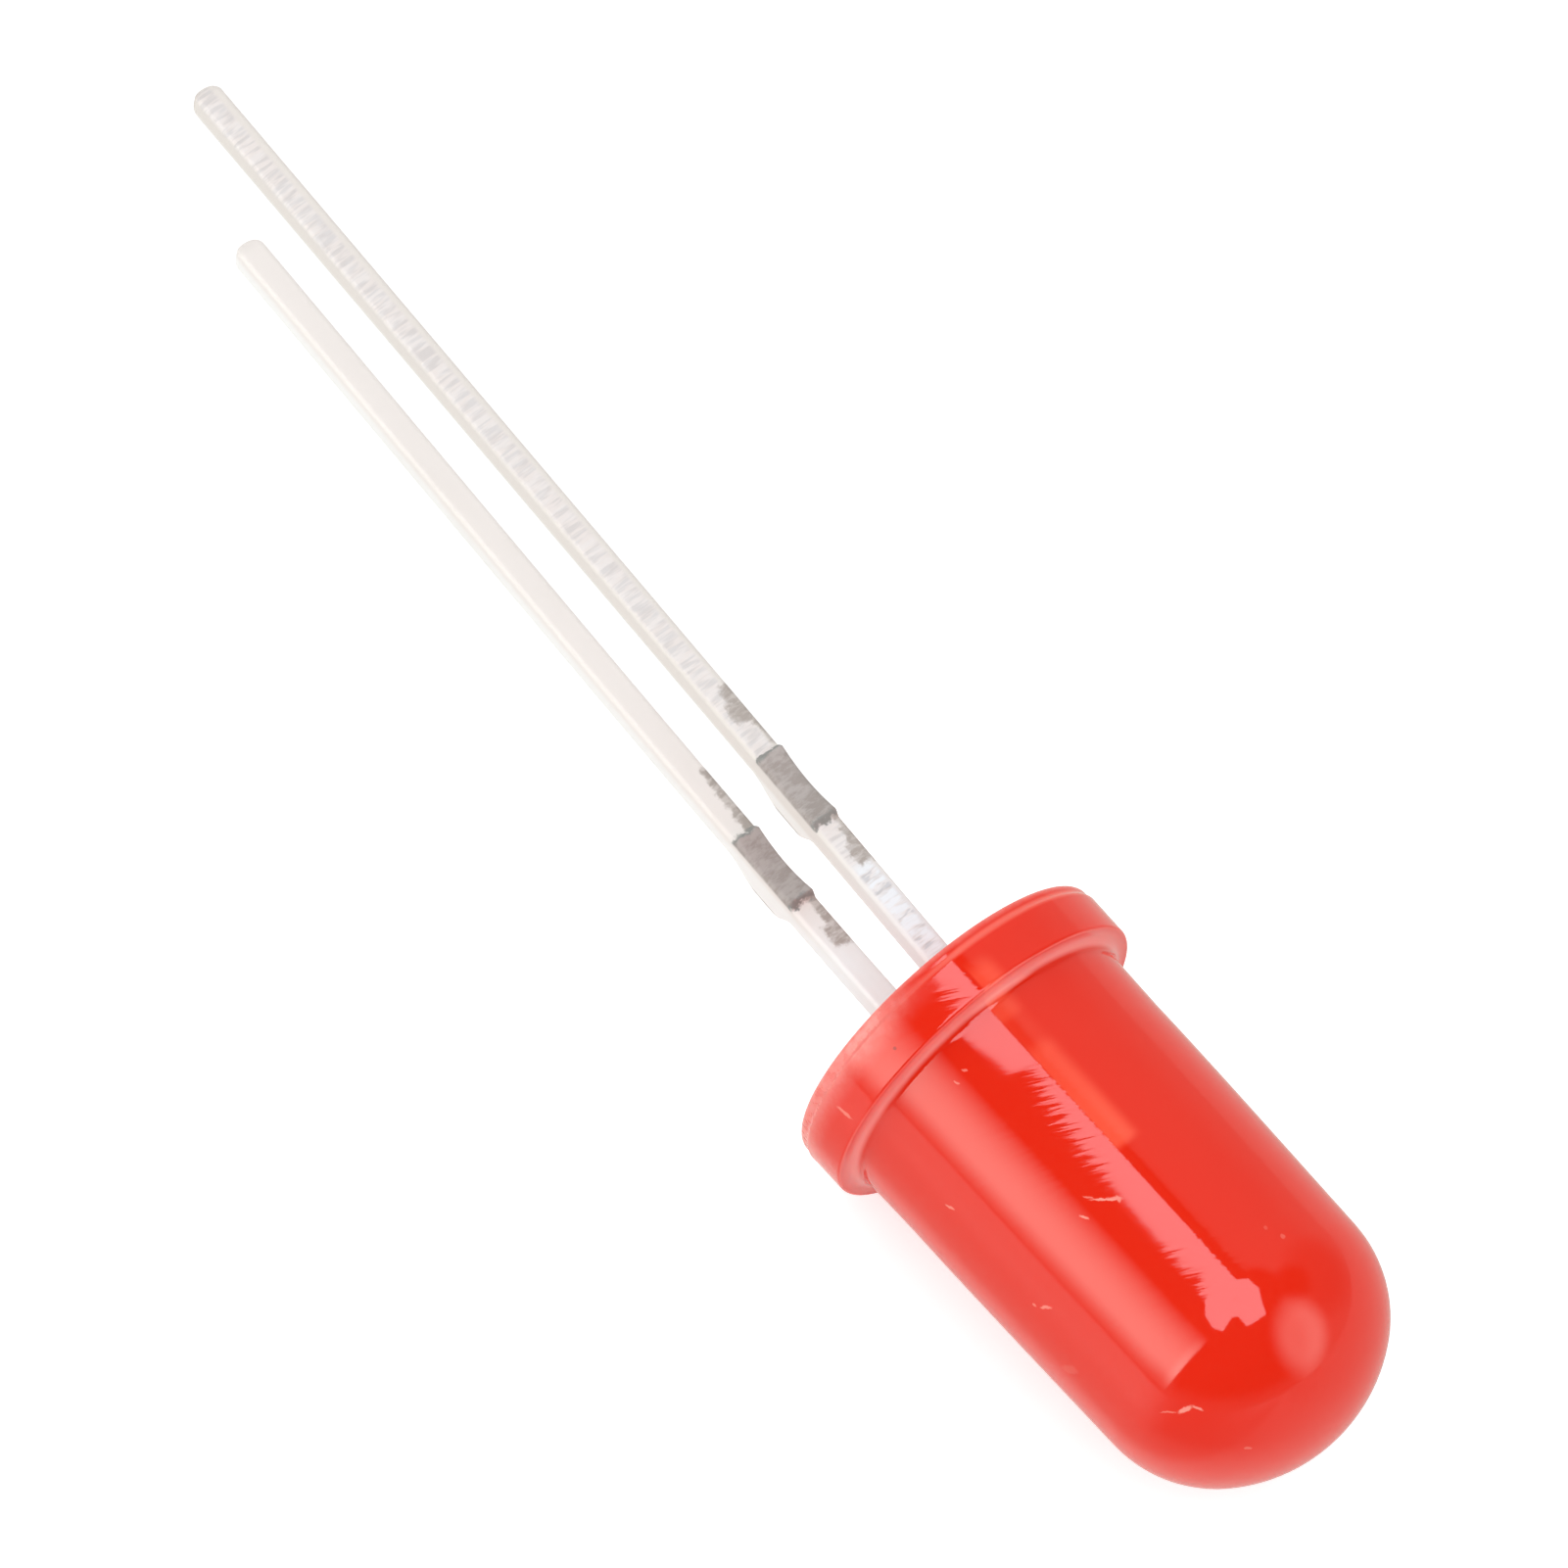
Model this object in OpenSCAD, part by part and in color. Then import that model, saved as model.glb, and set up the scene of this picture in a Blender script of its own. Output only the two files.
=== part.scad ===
// Through-hole LED: round 5 mm head of red diffused epoxy on two square stamped leads.
//
// The pieces are drawn upright, with the optical axis on Z, the underside of the flange at z = 0 and the
// flat of the flange towards +X. lay_down() then turns them to where a loose one comes to rest: the optical
// axis along +X, the flat facing down, and the origin still at the centre of the underside.

/* [Lens] */
// Diameter of the barrel where it leaves the flange
barrel_d = 5; // [4.6:0.1:6]
// Taper of the barrel, in degrees a side, that lets it leave its mould
barrel_draft = 0.8; // [0.2:0.1:2]
// Height of the head, from the underside of the flange to the tip of the dome
lens_h = 8.8; // [7.5:0.1:12]
// How much larger than the end of the barrel the radius of the dome's crown is
crown_over = 0.22; // [0.05:0.01:0.6]
// How far off the axis the arc of the dome's shoulder is centred
shoulder_off = 0.38; // [0.1:0.01:0.8]

/* [Flange] */
// How far the flange stands out from the barrel
flange_out = 0.33; // [0.25:0.01:0.8]
// Thickness of the flange
flange_t = 0.95; // [0.7:0.05:1.5]
// Rounding of the flange's two outer edges
flange_edge_r = 0.1; // [0.03:0.01:0.2]
// Fillet between the flange and the barrel
flange_root_r = 0.08; // [0.03:0.01:0.15]
// How far the flat that marks the cathode stands off the barrel
flat_off = 0.03; // [0.02:0.01:0.15]

/* [Leads] */
// Distance between the two leads
lead_pitch = 2.54; // [2.2:0.02:3]
// Width of a lead, in the plane of the two leads
lead_w = 0.45; // [0.35:0.01:0.6]
// Thickness of the sheet that the lead frame is stamped from
sheet_t = 0.45; // [0.35:0.01:0.6]
// Length of the anode, the long lead, below the flange
anode_len = 18.1; // [6:0.1:30]
// Length of the cathode, the short lead, below the flange
cathode_len = 16.6; // [6:0.1:30]
// Bevel around the cut tip of each lead
tip_bevel = 0.1; // [0.02:0.01:0.15]
// Lean of the whole lead frame in the head, in degrees, across the plane of the leads
frame_lean = 2.1; // [0:0.1:4]

/* [Tie-bar stubs] */
// Distance from the underside of the flange to the stubs that the cut tie bar leaves
stub_gap = 3; // [1.5:0.1:4]
// Length of a stub, along the lead
stub_len = 1.5; // [0.8:0.1:2]
// How far the stub on the flat's side of each lead stands out
stub_out = 0.25; // [0.1:0.01:0.5]
// How far the ends of the stub on the other side stand out, where the middle is cut down to the lead
stub_ends_out = 0.12; // [0.05:0.01:0.25]
// Length of the slope at each end of a stub
stub_slope = 0.12; // [0.05:0.01:0.3]

/* [Anode post] */
// Height of the anode post above the underside of the flange
post_h = 3.8; // [3.2:0.1:4.6]
// Height of the wide flag at the top of the post
flag_h = 1.5; // [0.8:0.1:1.9]
// Height of the slope that widens the post to its flag
flag_slope = 0.45; // [0.2:0.05:0.8]
// Gap between the flag and the reflector cup
cup_gap = 0.22; // [0.1:0.01:0.35]

/* [Cathode anvil and cup] */
// Height of the cup's rim above the underside of the flange
cup_rim_h = 3.7; // [3.2:0.1:4.6]
// Outer diameter of the cup at its rim
cup_d = 1.2; // [1:0.05:1.4]
// Height of the cup's round head
cup_head_h = 0.7; // [0.5:0.05:0.9]
// Outer diameter of the cup's head where it meets the anvil
cup_foot_d = 0.9; // [0.7:0.05:1]
// Depth of the cup
cup_depth = 0.36; // [0.3:0.01:0.44]
// Width of the cup's rim
cup_rim_w = 0.08; // [0.04:0.01:0.15]
// Diameter of the cup's floor
cup_floor_d = 0.62; // [0.55:0.01:0.7]
// Height of the anvil's straight upper part, below the cup's head
anvil_h = 0.7; // [0.4:0.1:1.1]
// Height of the slope that widens the lead to the anvil
anvil_slope = 0.6; // [0.3:0.1:0.9]
// How far the anvil stands out past the lead, away from the axis
anvil_out = 0.14; // [0.05:0.01:0.3]

/* [Die and bond wire] */
// Side of the square die
die_w = 0.3; // [0.2:0.01:0.34]
// Height of the die
die_h = 0.2; // [0.1:0.01:0.26]
// Diameter of the spot of silver epoxy under the die
attach_d = 0.5; // [0.49:0.01:0.54]
// Thickness of the silver epoxy
attach_t = 0.03; // [0.02:0.01:0.04]
// Diameter of the gold bond wire
wire_d = 0.03; // [0.02:0.005:0.05]
// How far the wire's loop rises above its higher end
loop_rise = 0.3; // [0.1:0.05:0.6]
// Least gap between the wire and the rim of the cup that it passes over
rim_gap = 0.06; // [0.03:0.01:0.12]
// Diameter of the ball that bonds the wire to the die
ball_d = 0.09; // [0.07:0.01:0.14]
// Height of that ball
ball_h = 0.04; // [0.03:0.01:0.06]
// Length of the stitch that bonds the wire to the anode post
stitch_len = 0.12; // [0.08:0.01:0.2]
// Width of the stitch
stitch_w = 0.07; // [0.06:0.01:0.12]
// Thickness of the stitch
stitch_t = 0.02; // [0.015:0.005:0.03]

/* [Hidden] */
$fn = 96;

// Sides of the wire's section, and steps along its loop
WIRE_SIDES = 6;
WIRE_STEPS = 12;
// Steps from the middle of a hollow stub to its end
STUB_STEPS = 4;
// Past every surface that a cut has to clear
CLEAR = 1;
// How far what is one solid, or one hollow, reaches into its neighbour
SINK = 0.01;
// How far an arc lies past the line or arc that it runs into
CROSS = 0.001;
// Degrees by which the dome's shoulder is drawn past each of its ends
PAST = 20;

EPOXY_RED = [0.9, 0.17, 0.11];
TIN = [0.86, 0.84, 0.82];
SILVER_EPOXY = [0.62, 0.62, 0.64];
DIE_GREY = [0.42, 0.36, 0.3];
GOLD = [0.9, 0.7, 0.25];

barrel_r = barrel_d / 2;
flange_r = barrel_r + flange_out;
flat_x = barrel_r + flat_off;

// The dome: a crown arc centred on the axis, and a shoulder arc that meets the crown and the barrel with no
// kink. The two centres lie shoulder_off + crown_over apart, and the shoulder's is the higher one.
centres_dz = sqrt(pow(shoulder_off + crown_over, 2) - pow(shoulder_off, 2));
shoulder_z_plus_r = lens_h + centres_dz - shoulder_off - crown_over;
shoulder_r = (barrel_r - shoulder_off - (shoulder_z_plus_r - flange_t) * tan(barrel_draft))
    * cos(barrel_draft) / (1 - sin(barrel_draft));
shoulder_z = shoulder_z_plus_r - shoulder_r;
crown_r = shoulder_r + shoulder_off + crown_over;
crown_z = lens_h - crown_r;
shoulder_angle = atan2(centres_dz, shoulder_off);

lead_x = lead_pitch / 2;
flag_inner_x = cup_d / 2 + cup_gap;
cup_floor_h = cup_rim_h - cup_depth;
cup_foot_h = cup_rim_h - cup_head_h;
cup_mouth_d = cup_d - 2 * cup_rim_w;
attach_top = cup_floor_h + attach_t;
die_top = attach_top + die_h;
stitch_x = -(lead_x + flag_inner_x) / 2;

function polar(r, a) = [r * cos(a), r * sin(a)];

// A slice of a disc about a centre, from one angle to another that is less than 180 degrees on.
module slice(centre, r, from, to) {
    middle = (from + to) / 2;
    translate(centre) intersection() {
        circle(r);
        polygon([[0, 0], polar(3 * r, from), polar(3 * r, middle), polar(3 * r, to)]);
    }
}

// Half of the head's section, right of the axis: a polygon up to the end of the barrel, and a slice for each
// arc. The shoulder's slice reaches past both its ends, and its radius is CROSS larger than one that would
// only touch the barrel and the crown, so that it crosses them.
module lens_section() {
    edge_x = flange_r - flange_edge_r;
    barrel_end = [shoulder_off, shoulder_z] + polar(shoulder_r, barrel_draft);

    polygon([
        [0, 0], [edge_x, 0], [flange_r, flange_edge_r],
        [flange_r, flange_t - flange_edge_r], [edge_x, flange_t],
        [barrel_r, flange_t], barrel_end, [0, shoulder_z]
    ]);
    slice([edge_x, flange_edge_r], flange_edge_r, -90, 0);
    slice([edge_x, flange_t - flange_edge_r], flange_edge_r, 0, 90);
    slice([shoulder_off, shoulder_z], shoulder_r + CROSS, barrel_draft - PAST, shoulder_angle + PAST);
    slice([0, crown_z], crown_r, shoulder_angle, 90);
    root_fillet();
}

// The concave fillet where the barrel rises from the flange, cut from a block whose back lies in the head.
// Its circle too is CROSS larger than one that would only touch the barrel and the flange.
module root_fillet() {
    centre = [
        barrel_r - flange_root_r * tan(barrel_draft) + flange_root_r / cos(barrel_draft),
        flange_t + flange_root_r
    ];
    behind = [barrel_r - flange_root_r, flange_t - flange_root_r];

    difference() {
        polygon([behind, [centre[0], behind[1]], centre, [behind[0], centre[1]]]);
        translate(centre) circle(flange_root_r + CROSS);
    }
}

// Turns the upright LED down onto the flat of its flange.
module lay_down() {
    rotate([0, 90, 0]) children();
}

// Leans what belongs to the lead frame, about the centre of the underside.
module lean() {
    rotate([frame_lean, 0, 0]) children();
}

// Sheet metal with a flat outline in X and Z, centred on the plane of the leads.
module stamped() {
    rotate([90, 0, 0]) linear_extrude(sheet_t, center = true) children();
}

// Bevels a lead's tip across the sheet, as its outline does in the plane of the leads.
module bevelled_tip(len) {
    half_tip = sheet_t / 2 - tip_bevel;
    half_far = sheet_t / 2 + CLEAR;
    bevel_far = tip_bevel + CLEAR - len;
    top = post_h + cup_rim_h;
    intersection() {
        children();
        rotate([90, 0, 90]) linear_extrude(2 * (lead_pitch + cup_d), center = true) polygon([
            [-half_far, top], [-half_far, bevel_far], [-half_tip, -len],
            [half_tip, -len], [half_far, bevel_far], [half_far, top]
        ]);
    }
}

// The cut face of a stub between its two slopes, as pairs of how far it stands out and its height. On the
// right it is straight. On the left it is hollow: the square of the share of the way from middle to end.
function stub_face(side) = let (
    half_len = stub_len / 2 - stub_slope,
    middle = -stub_gap - stub_len / 2
) side > 0
    ? [[stub_out, middle - half_len], [stub_out, middle + half_len]]
    : [for (i = [-STUB_STEPS : STUB_STEPS]) let (t = i / STUB_STEPS)
        [stub_ends_out * t * t, middle + half_len * t]];

// One edge of a lead from its tip up to the flange: side is +1 for its right edge and -1 for its left.
function leg_edge(x, side, len) = [
    [x + side * (lead_w / 2 - tip_bevel), -len],
    [x + side * lead_w / 2, tip_bevel - len],
    [x + side * lead_w / 2, -stub_gap - stub_len],
    for (p = stub_face(side)) [x + side * (lead_w / 2 + p[0]), p[1]],
    [x + side * lead_w / 2, -stub_gap]
];

function reversed(points) = [for (i = [len(points) - 1 : -1 : 0]) points[i]];

module anode_outline() {
    outer_x = -lead_x - lead_w / 2;
    inner_x = -lead_x + lead_w / 2;
    polygon(concat(
        leg_edge(-lead_x, 1, anode_len),
        [
            [inner_x, post_h - flag_h - flag_slope],
            [-flag_inner_x, post_h - flag_h],
            [-flag_inner_x, post_h],
            [outer_x, post_h]
        ],
        reversed(leg_edge(-lead_x, -1, anode_len))
    ));
}

// The outline's top has a low tab that lies inside the cup's head, so that the two are one piece.
module cathode_outline() {
    anvil_z = cup_foot_h - anvil_h;
    tab_x = cup_foot_d / 4;
    anvil_x = lead_x + lead_w / 2 + anvil_out;
    polygon(concat(
        leg_edge(lead_x, 1, cathode_len),
        [
            [lead_x + lead_w / 2, anvil_z - anvil_slope],
            [anvil_x, anvil_z],
            [anvil_x, cup_foot_h - anvil_out],
            [lead_x + lead_w / 2, cup_foot_h],
            [tab_x, cup_foot_h],
            [tab_x, cup_foot_h + SINK],
            [-tab_x, cup_foot_h + SINK],
            [-tab_x, cup_foot_h],
            [-cup_foot_d / 2, cup_foot_h],
            [-cup_foot_d / 2, anvil_z],
            [lead_x - lead_w / 2, anvil_z - anvil_slope]
        ],
        reversed(leg_edge(lead_x, -1, cathode_len))
    ));
}

module anode() {
    bevelled_tip(anode_len) stamped() anode_outline();
}

// The anvil and its coined head, with the cup that throws the die's light forward.
module cathode() {
    difference() {
        union() {
            bevelled_tip(cathode_len) stamped() cathode_outline();
            translate([0, 0, cup_foot_h])
                cylinder(h = cup_head_h, d1 = cup_foot_d, d2 = cup_d);
        }
        translate([0, 0, cup_floor_h])
            cylinder(h = cup_depth, d1 = cup_floor_d, d2 = cup_mouth_d);
    }
}

// The die, its silver epoxy and the wire each rest on the piece before. The room they take in the lens is
// one hollow, so there each of them is drawn sunk a little way into what carries it.
module attach(sink = 0) {
    translate([0, 0, cup_floor_h - sink]) cylinder(h = attach_t + sink, d = attach_d);
}

module die(sink = 0) {
    translate([-die_w / 2, -die_w / 2, attach_top - sink]) cube([die_w, die_w, die_h + sink]);
}

// The loop's centre line leaves the ball straight up, and comes down on the post at a slope: across, the
// square of the share of the way; up, a hump between the two ends. The hump is the higher of the one that
// loop_rise asks for and the one that passes the cup's rim by rim_gap.
loop_start = die_top + ball_h / 2;
loop_end = post_h + wire_d / 2;
rim_s = sqrt(-cup_d / 2 / stitch_x);
rim_level = cup_rim_h + rim_gap + wire_d;
hump = max(
    2 * (max(loop_start, loop_end) + loop_rise) - (loop_start + loop_end) / 2,
    (rim_level - loop_start * pow(1 - rim_s, 2) - loop_end * pow(rim_s, 2)) / (2 * rim_s * (1 - rim_s))
);

function loop_point(s) = [
    stitch_x * s * s,
    loop_start * (1 - s) * (1 - s) + loop_end * s * s + hump * 2 * s * (1 - s)
];

// Across the loop at each ring, in its plane.
function loop_normal(s) = let (
    step = 1 / (8 * WIRE_STEPS),
    a = loop_point(max(s - step, 0)),
    b = loop_point(min(s + step, 1)),
    d = b - a
) [-d[1], d[0]] / norm(d);

function loop_ring(s) = let (p = loop_point(s), n = loop_normal(s)) [
    for (k = [0 : WIRE_SIDES - 1]) let (q = polar(wire_d / 2, 360 * (k + 0.5) / WIRE_SIDES))
        [p[0] + n[0] * q[0], q[1], p[1] + n[1] * q[0]]
];

module wire_loop() {
    points = [for (i = [0 : WIRE_STEPS]) each loop_ring(i / WIRE_STEPS)];
    sides = [
        for (i = [0 : WIRE_STEPS - 1], k = [0 : WIRE_SIDES - 1])
            let (a = i * WIRE_SIDES, b = a + WIRE_SIDES, next = (k + 1) % WIRE_SIDES)
            [a + k, a + next, b + next, b + k]
    ];
    first = [for (k = [WIRE_SIDES - 1 : -1 : 0]) k];
    last = [for (k = [0 : WIRE_SIDES - 1]) WIRE_STEPS * WIRE_SIDES + k];
    polyhedron(points, concat([first], sides, [last]), convexity = 4);
}

module wire(sink = 0) {
    wire_loop();
    translate([0, 0, die_top - sink]) cylinder(h = ball_h + sink, d = ball_d, $fn = 12);
    translate([stitch_x - stitch_len / 2, -stitch_w / 2, post_h - sink])
        cube([stitch_len, stitch_w, stitch_t + sink]);
}

module lens_body() {
    color(EPOXY_RED) lay_down() difference() {
        rotate_extrude() lens_section();
        translate([flat_x, -flange_r - CLEAR, -CLEAR])
            cube([flange_out + CLEAR, 2 * (flange_r + CLEAR), flange_t + flange_root_r + CLEAR]);
        lean() {
            anode();
            cathode();
            attach(SINK);
            die(SINK);
            wire(SINK);
        }
    }
}

module anode_lead() {
    color(TIN) lay_down() lean() anode();
}

module cathode_lead() {
    color(TIN) lay_down() lean() cathode();
}

module led_die() {
    color(DIE_GREY) lay_down() lean() die();
}

module die_attach() {
    color(SILVER_EPOXY) lay_down() lean() attach();
}

module bond_wire() {
    color(GOLD) lay_down() lean() wire();
}

lens_body();
anode_lead();
cathode_lead();
led_die();
die_attach();
bond_wire();
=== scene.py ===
# %% [markdown]
# # A red 5 mm LED with two legs
#
# A through-hole LED is a little frame of tinned steel with a light-giving chip on it, cast into a head of
# red epoxy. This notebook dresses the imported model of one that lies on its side. Its long axis is X: the
# dome looks along +X and the legs run along -X. The plane of the two legs is upright, so the long leg, the
# anode, is above the short one, the cathode. Every size below is in millimetres. It is turned into metres
# when a mesh is made, and a finish turns the place of a point back into millimetres.

# %% Load the frame
import bpy
import numpy as np
from mathutils import Matrix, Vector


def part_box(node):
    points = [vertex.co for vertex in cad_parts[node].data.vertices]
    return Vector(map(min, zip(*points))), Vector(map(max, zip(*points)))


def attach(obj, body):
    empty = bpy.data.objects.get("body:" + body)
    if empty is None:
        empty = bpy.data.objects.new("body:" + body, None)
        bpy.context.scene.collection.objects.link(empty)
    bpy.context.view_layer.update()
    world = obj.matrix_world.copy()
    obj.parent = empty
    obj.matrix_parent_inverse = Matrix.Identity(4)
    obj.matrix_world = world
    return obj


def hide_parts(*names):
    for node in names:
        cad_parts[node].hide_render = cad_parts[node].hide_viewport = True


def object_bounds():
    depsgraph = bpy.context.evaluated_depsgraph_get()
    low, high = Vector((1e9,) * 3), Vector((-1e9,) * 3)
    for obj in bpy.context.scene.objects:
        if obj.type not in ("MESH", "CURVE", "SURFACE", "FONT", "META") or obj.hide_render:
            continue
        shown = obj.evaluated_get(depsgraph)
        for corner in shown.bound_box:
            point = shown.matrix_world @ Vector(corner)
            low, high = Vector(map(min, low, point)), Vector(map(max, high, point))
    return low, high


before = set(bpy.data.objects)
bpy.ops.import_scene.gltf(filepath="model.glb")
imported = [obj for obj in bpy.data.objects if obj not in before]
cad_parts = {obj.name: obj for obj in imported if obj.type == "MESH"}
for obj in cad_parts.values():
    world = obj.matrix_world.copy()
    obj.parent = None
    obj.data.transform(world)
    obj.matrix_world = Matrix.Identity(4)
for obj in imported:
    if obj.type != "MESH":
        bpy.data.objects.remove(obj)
cad_box = [list(corner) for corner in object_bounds()]
MM = 0.001
print("the CAD box in mm:", np.round(np.array(cad_box) / MM, 2).tolist())

# %% [markdown]
# ## Measures
#
# The head's own box gives three of its measures, so the skin drawn here can't drift from the solid that it
# stands for. The rest repeat the sizes of the part.

# %% Sizes of the head and of the lead frame
head_low, head_high = (np.array(corner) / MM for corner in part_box("lens_body"))
HEAD_LEN = head_high[0]
FLANGE_R = head_high[2]
FLAT = -head_low[2]
FLOOR_Z = cad_box[0][2] / MM

BARREL_R = 2.5
DRAFT = np.radians(0.8)
FLANGE_T = 0.95
EDGE_R = 0.1
FRONT_EDGE_R = 0.05
ROOT_R = 0.16
CROWN_OVER = 0.22
SHOULDER_OFF = 0.38

LEAD_Z = 1.27
LEAD_HALF = 0.225
ANODE_TIP = -18.1
CATHODE_TIP = -16.6
LEAN = np.radians(2.1)
print("head", round(HEAD_LEN, 3), "mm long, flange", round(2 * FLANGE_R, 3), "mm across")
print("flat", round(FLAT, 3), "mm below the axis")

# %% [markdown]
# ## The camera
#
# Small things are shot from afar with a long lens, which keeps parallel legs parallel. The camera stands in
# front of the dome, to its right, and looks steeply down, and it is rolled so that the legs run up to the
# left. Three measures fix it: the direction to the camera, the width that the picture takes in, and the
# point in the middle of the picture.

# %% Camera
TO_CAMERA = np.array([0.284, -0.370, 0.8845])
PICTURE_UP = np.array([-0.706, 0.544, 0.454])
PICTURE_WIDTH = 23.24
AIM = np.array([-3.96, 0.11, 1.31])
LENS_MM = 1500.0
SENSOR_MM = 36.0
CLIP_METRES = (0.1, 6.0)


def unit(v):
    """v divided by its own length."""
    return v / np.linalg.norm(v)


def camera_axes(back, up):
    """Right, up and back as the three columns of a turn.

    Up loses its share along back, and right is up x back.
    """
    back = unit(back)
    up = unit(up - back * (up @ back))
    return np.stack([np.cross(up, back), up, back], axis=1)


def make_camera():
    """A camera whose distance is the lens times the picture's width over the sensor's."""
    data = bpy.data.cameras.new("camera")
    data.lens, data.sensor_width = LENS_MM, SENSOR_MM
    data.clip_start, data.clip_end = CLIP_METRES
    axes = camera_axes(TO_CAMERA, PICTURE_UP)
    distance = LENS_MM * PICTURE_WIDTH / SENSOR_MM
    cam = bpy.data.objects.new("camera", data)
    stand = np.eye(4)
    stand[:3, :3] = axes
    stand[:3, 3] = (AIM + axes[:, 2] * distance) * MM
    cam.matrix_world = Matrix(stand.tolist())
    bpy.context.collection.objects.link(cam)
    bpy.context.scene.camera = cam
    print("camera", round(distance), "mm away")


make_camera()

# %% [markdown]
# ## From a grid of points to a mesh
#
# Every new piece is a skin: rows of points, each row a ring round the piece. One helper joins each point to
# its neighbours by four-sided faces, and closes each end with a fan round one middle point. It works out
# the volume that the skin holds, and turns the faces round if that comes out negative, so that they face
# outwards.


# %% Mesh helpers
def ring_skin(points):
    """Faces between the rows of a (rows, columns, 3) grid that closes on itself along its columns."""
    rows, cols = points.shape[:2]
    at = np.arange(rows * cols).reshape(rows, cols)
    nxt = np.roll(at, -1, axis=1)
    return np.stack([at[:-1], nxt[:-1], nxt[1:], at[1:]], axis=-1).reshape(-1, 4)


def closed_skin(points):
    """Points and faces of a grid of rings with a fan on each end round the mean of its last ring."""
    rows, cols = points.shape[:2]
    verts = np.vstack([points.reshape(-1, 3), points[0].mean(axis=0), points[-1].mean(axis=0)])
    first = np.arange(cols)
    last = first + (rows - 1) * cols
    middle = np.full(cols, rows * cols)
    fans = [
        np.stack([middle, np.roll(first, -1), first], axis=-1),
        np.stack([middle + 1, last, np.roll(last, -1)], axis=-1),
    ]
    return verts, ring_skin(points), np.vstack(fans)


def volume_of(verts, quads, tris):
    """A sixth of the sum, over all triangles, of a . (b x c)."""
    t = np.vstack([tris, quads[:, [0, 1, 2]], quads[:, [0, 2, 3]]])
    a, b, c = verts[t[:, 0]], verts[t[:, 1]], verts[t[:, 2]]
    return np.einsum("ij,ij->i", a, np.cross(b, c)).sum() / 6


def make_piece(name, skins, sharp=35.0):
    """One mesh object from closed grids in millimetres, smooth but for edges over sharp degrees."""
    verts, faces, count, held = [], [], 0, 0.0
    for grid_of_points in skins:
        v, q, t = closed_skin(grid_of_points)
        volume = volume_of(v, q, t)
        if volume < 0:
            q, t = q[:, ::-1], t[:, ::-1]
        verts.append(v)
        faces += (q + count).tolist() + (t + count).tolist()
        count += len(v)
        held += abs(volume)
    mesh = bpy.data.meshes.new(name)
    mesh.from_pydata(np.vstack(verts) * MM, [], faces)
    mesh.polygons.foreach_set("use_smooth", np.ones(len(mesh.polygons), dtype=bool))
    mesh.set_sharp_from_angle(angle=np.radians(sharp))
    mesh.update()
    piece = bpy.data.objects.new(name, mesh)
    bpy.context.collection.objects.link(piece)
    print(name, len(faces), "faces,", round(held, 3), "mm3")
    return piece


def smooth(t):
    """0 below 0, 1 above 1, and 3t^2 - 2t^3 between."""
    t = np.clip(t, 0.0, 1.0)
    return t * t * (3 - 2 * t)


def lean(points):
    """Turns points of the lead frame by LEAN about Z: the legs' tips swing to +Y, the cup to -Y."""
    x, y, z = np.moveaxis(points, -1, 0)
    c, s = np.cos(LEAN), np.sin(LEAN)
    return np.stack([x * c + y * s, y * c - x * s, z], axis=-1)


# %% [markdown]
# ## The head
#
# The head is cast in a mould with a round bore, so it is a turned form: a profile carried once round the
# axis. The profile starts in the middle of the underside, runs out to the flange, over its two rounded
# edges, down the fillet to the barrel, along the slightly tapered barrel, and over two arcs to the tip. A
# lathe curve and a Screw modifier could make that too. A grid is chosen because some things aren't so
# plain: the flat that is cut off the flange, the lip where the liquid epoxy stood at the mould's mouth, the
# two little ramps that it climbed where the legs leave it, and the barrel, which shrank a few hundredths of
# a millimetre round the post.


# %% Profile of the head
def arc(centre, radius, start, end, steps):
    """Points centre + radius (cos a, sin a) as (across, along), a from start to end degrees."""
    a = np.radians(np.linspace(start, end, steps))
    return centre[0] + radius * np.cos(a), centre[1] + radius * np.sin(a)


def line(start, end, steps):
    """Points along a straight line as (across, along), without its two ends."""
    t = np.linspace(0, 1, steps + 2)[1:-1]
    return start[0] + (end[0] - start[0]) * t, start[1] + (end[1] - start[1]) * t


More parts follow.
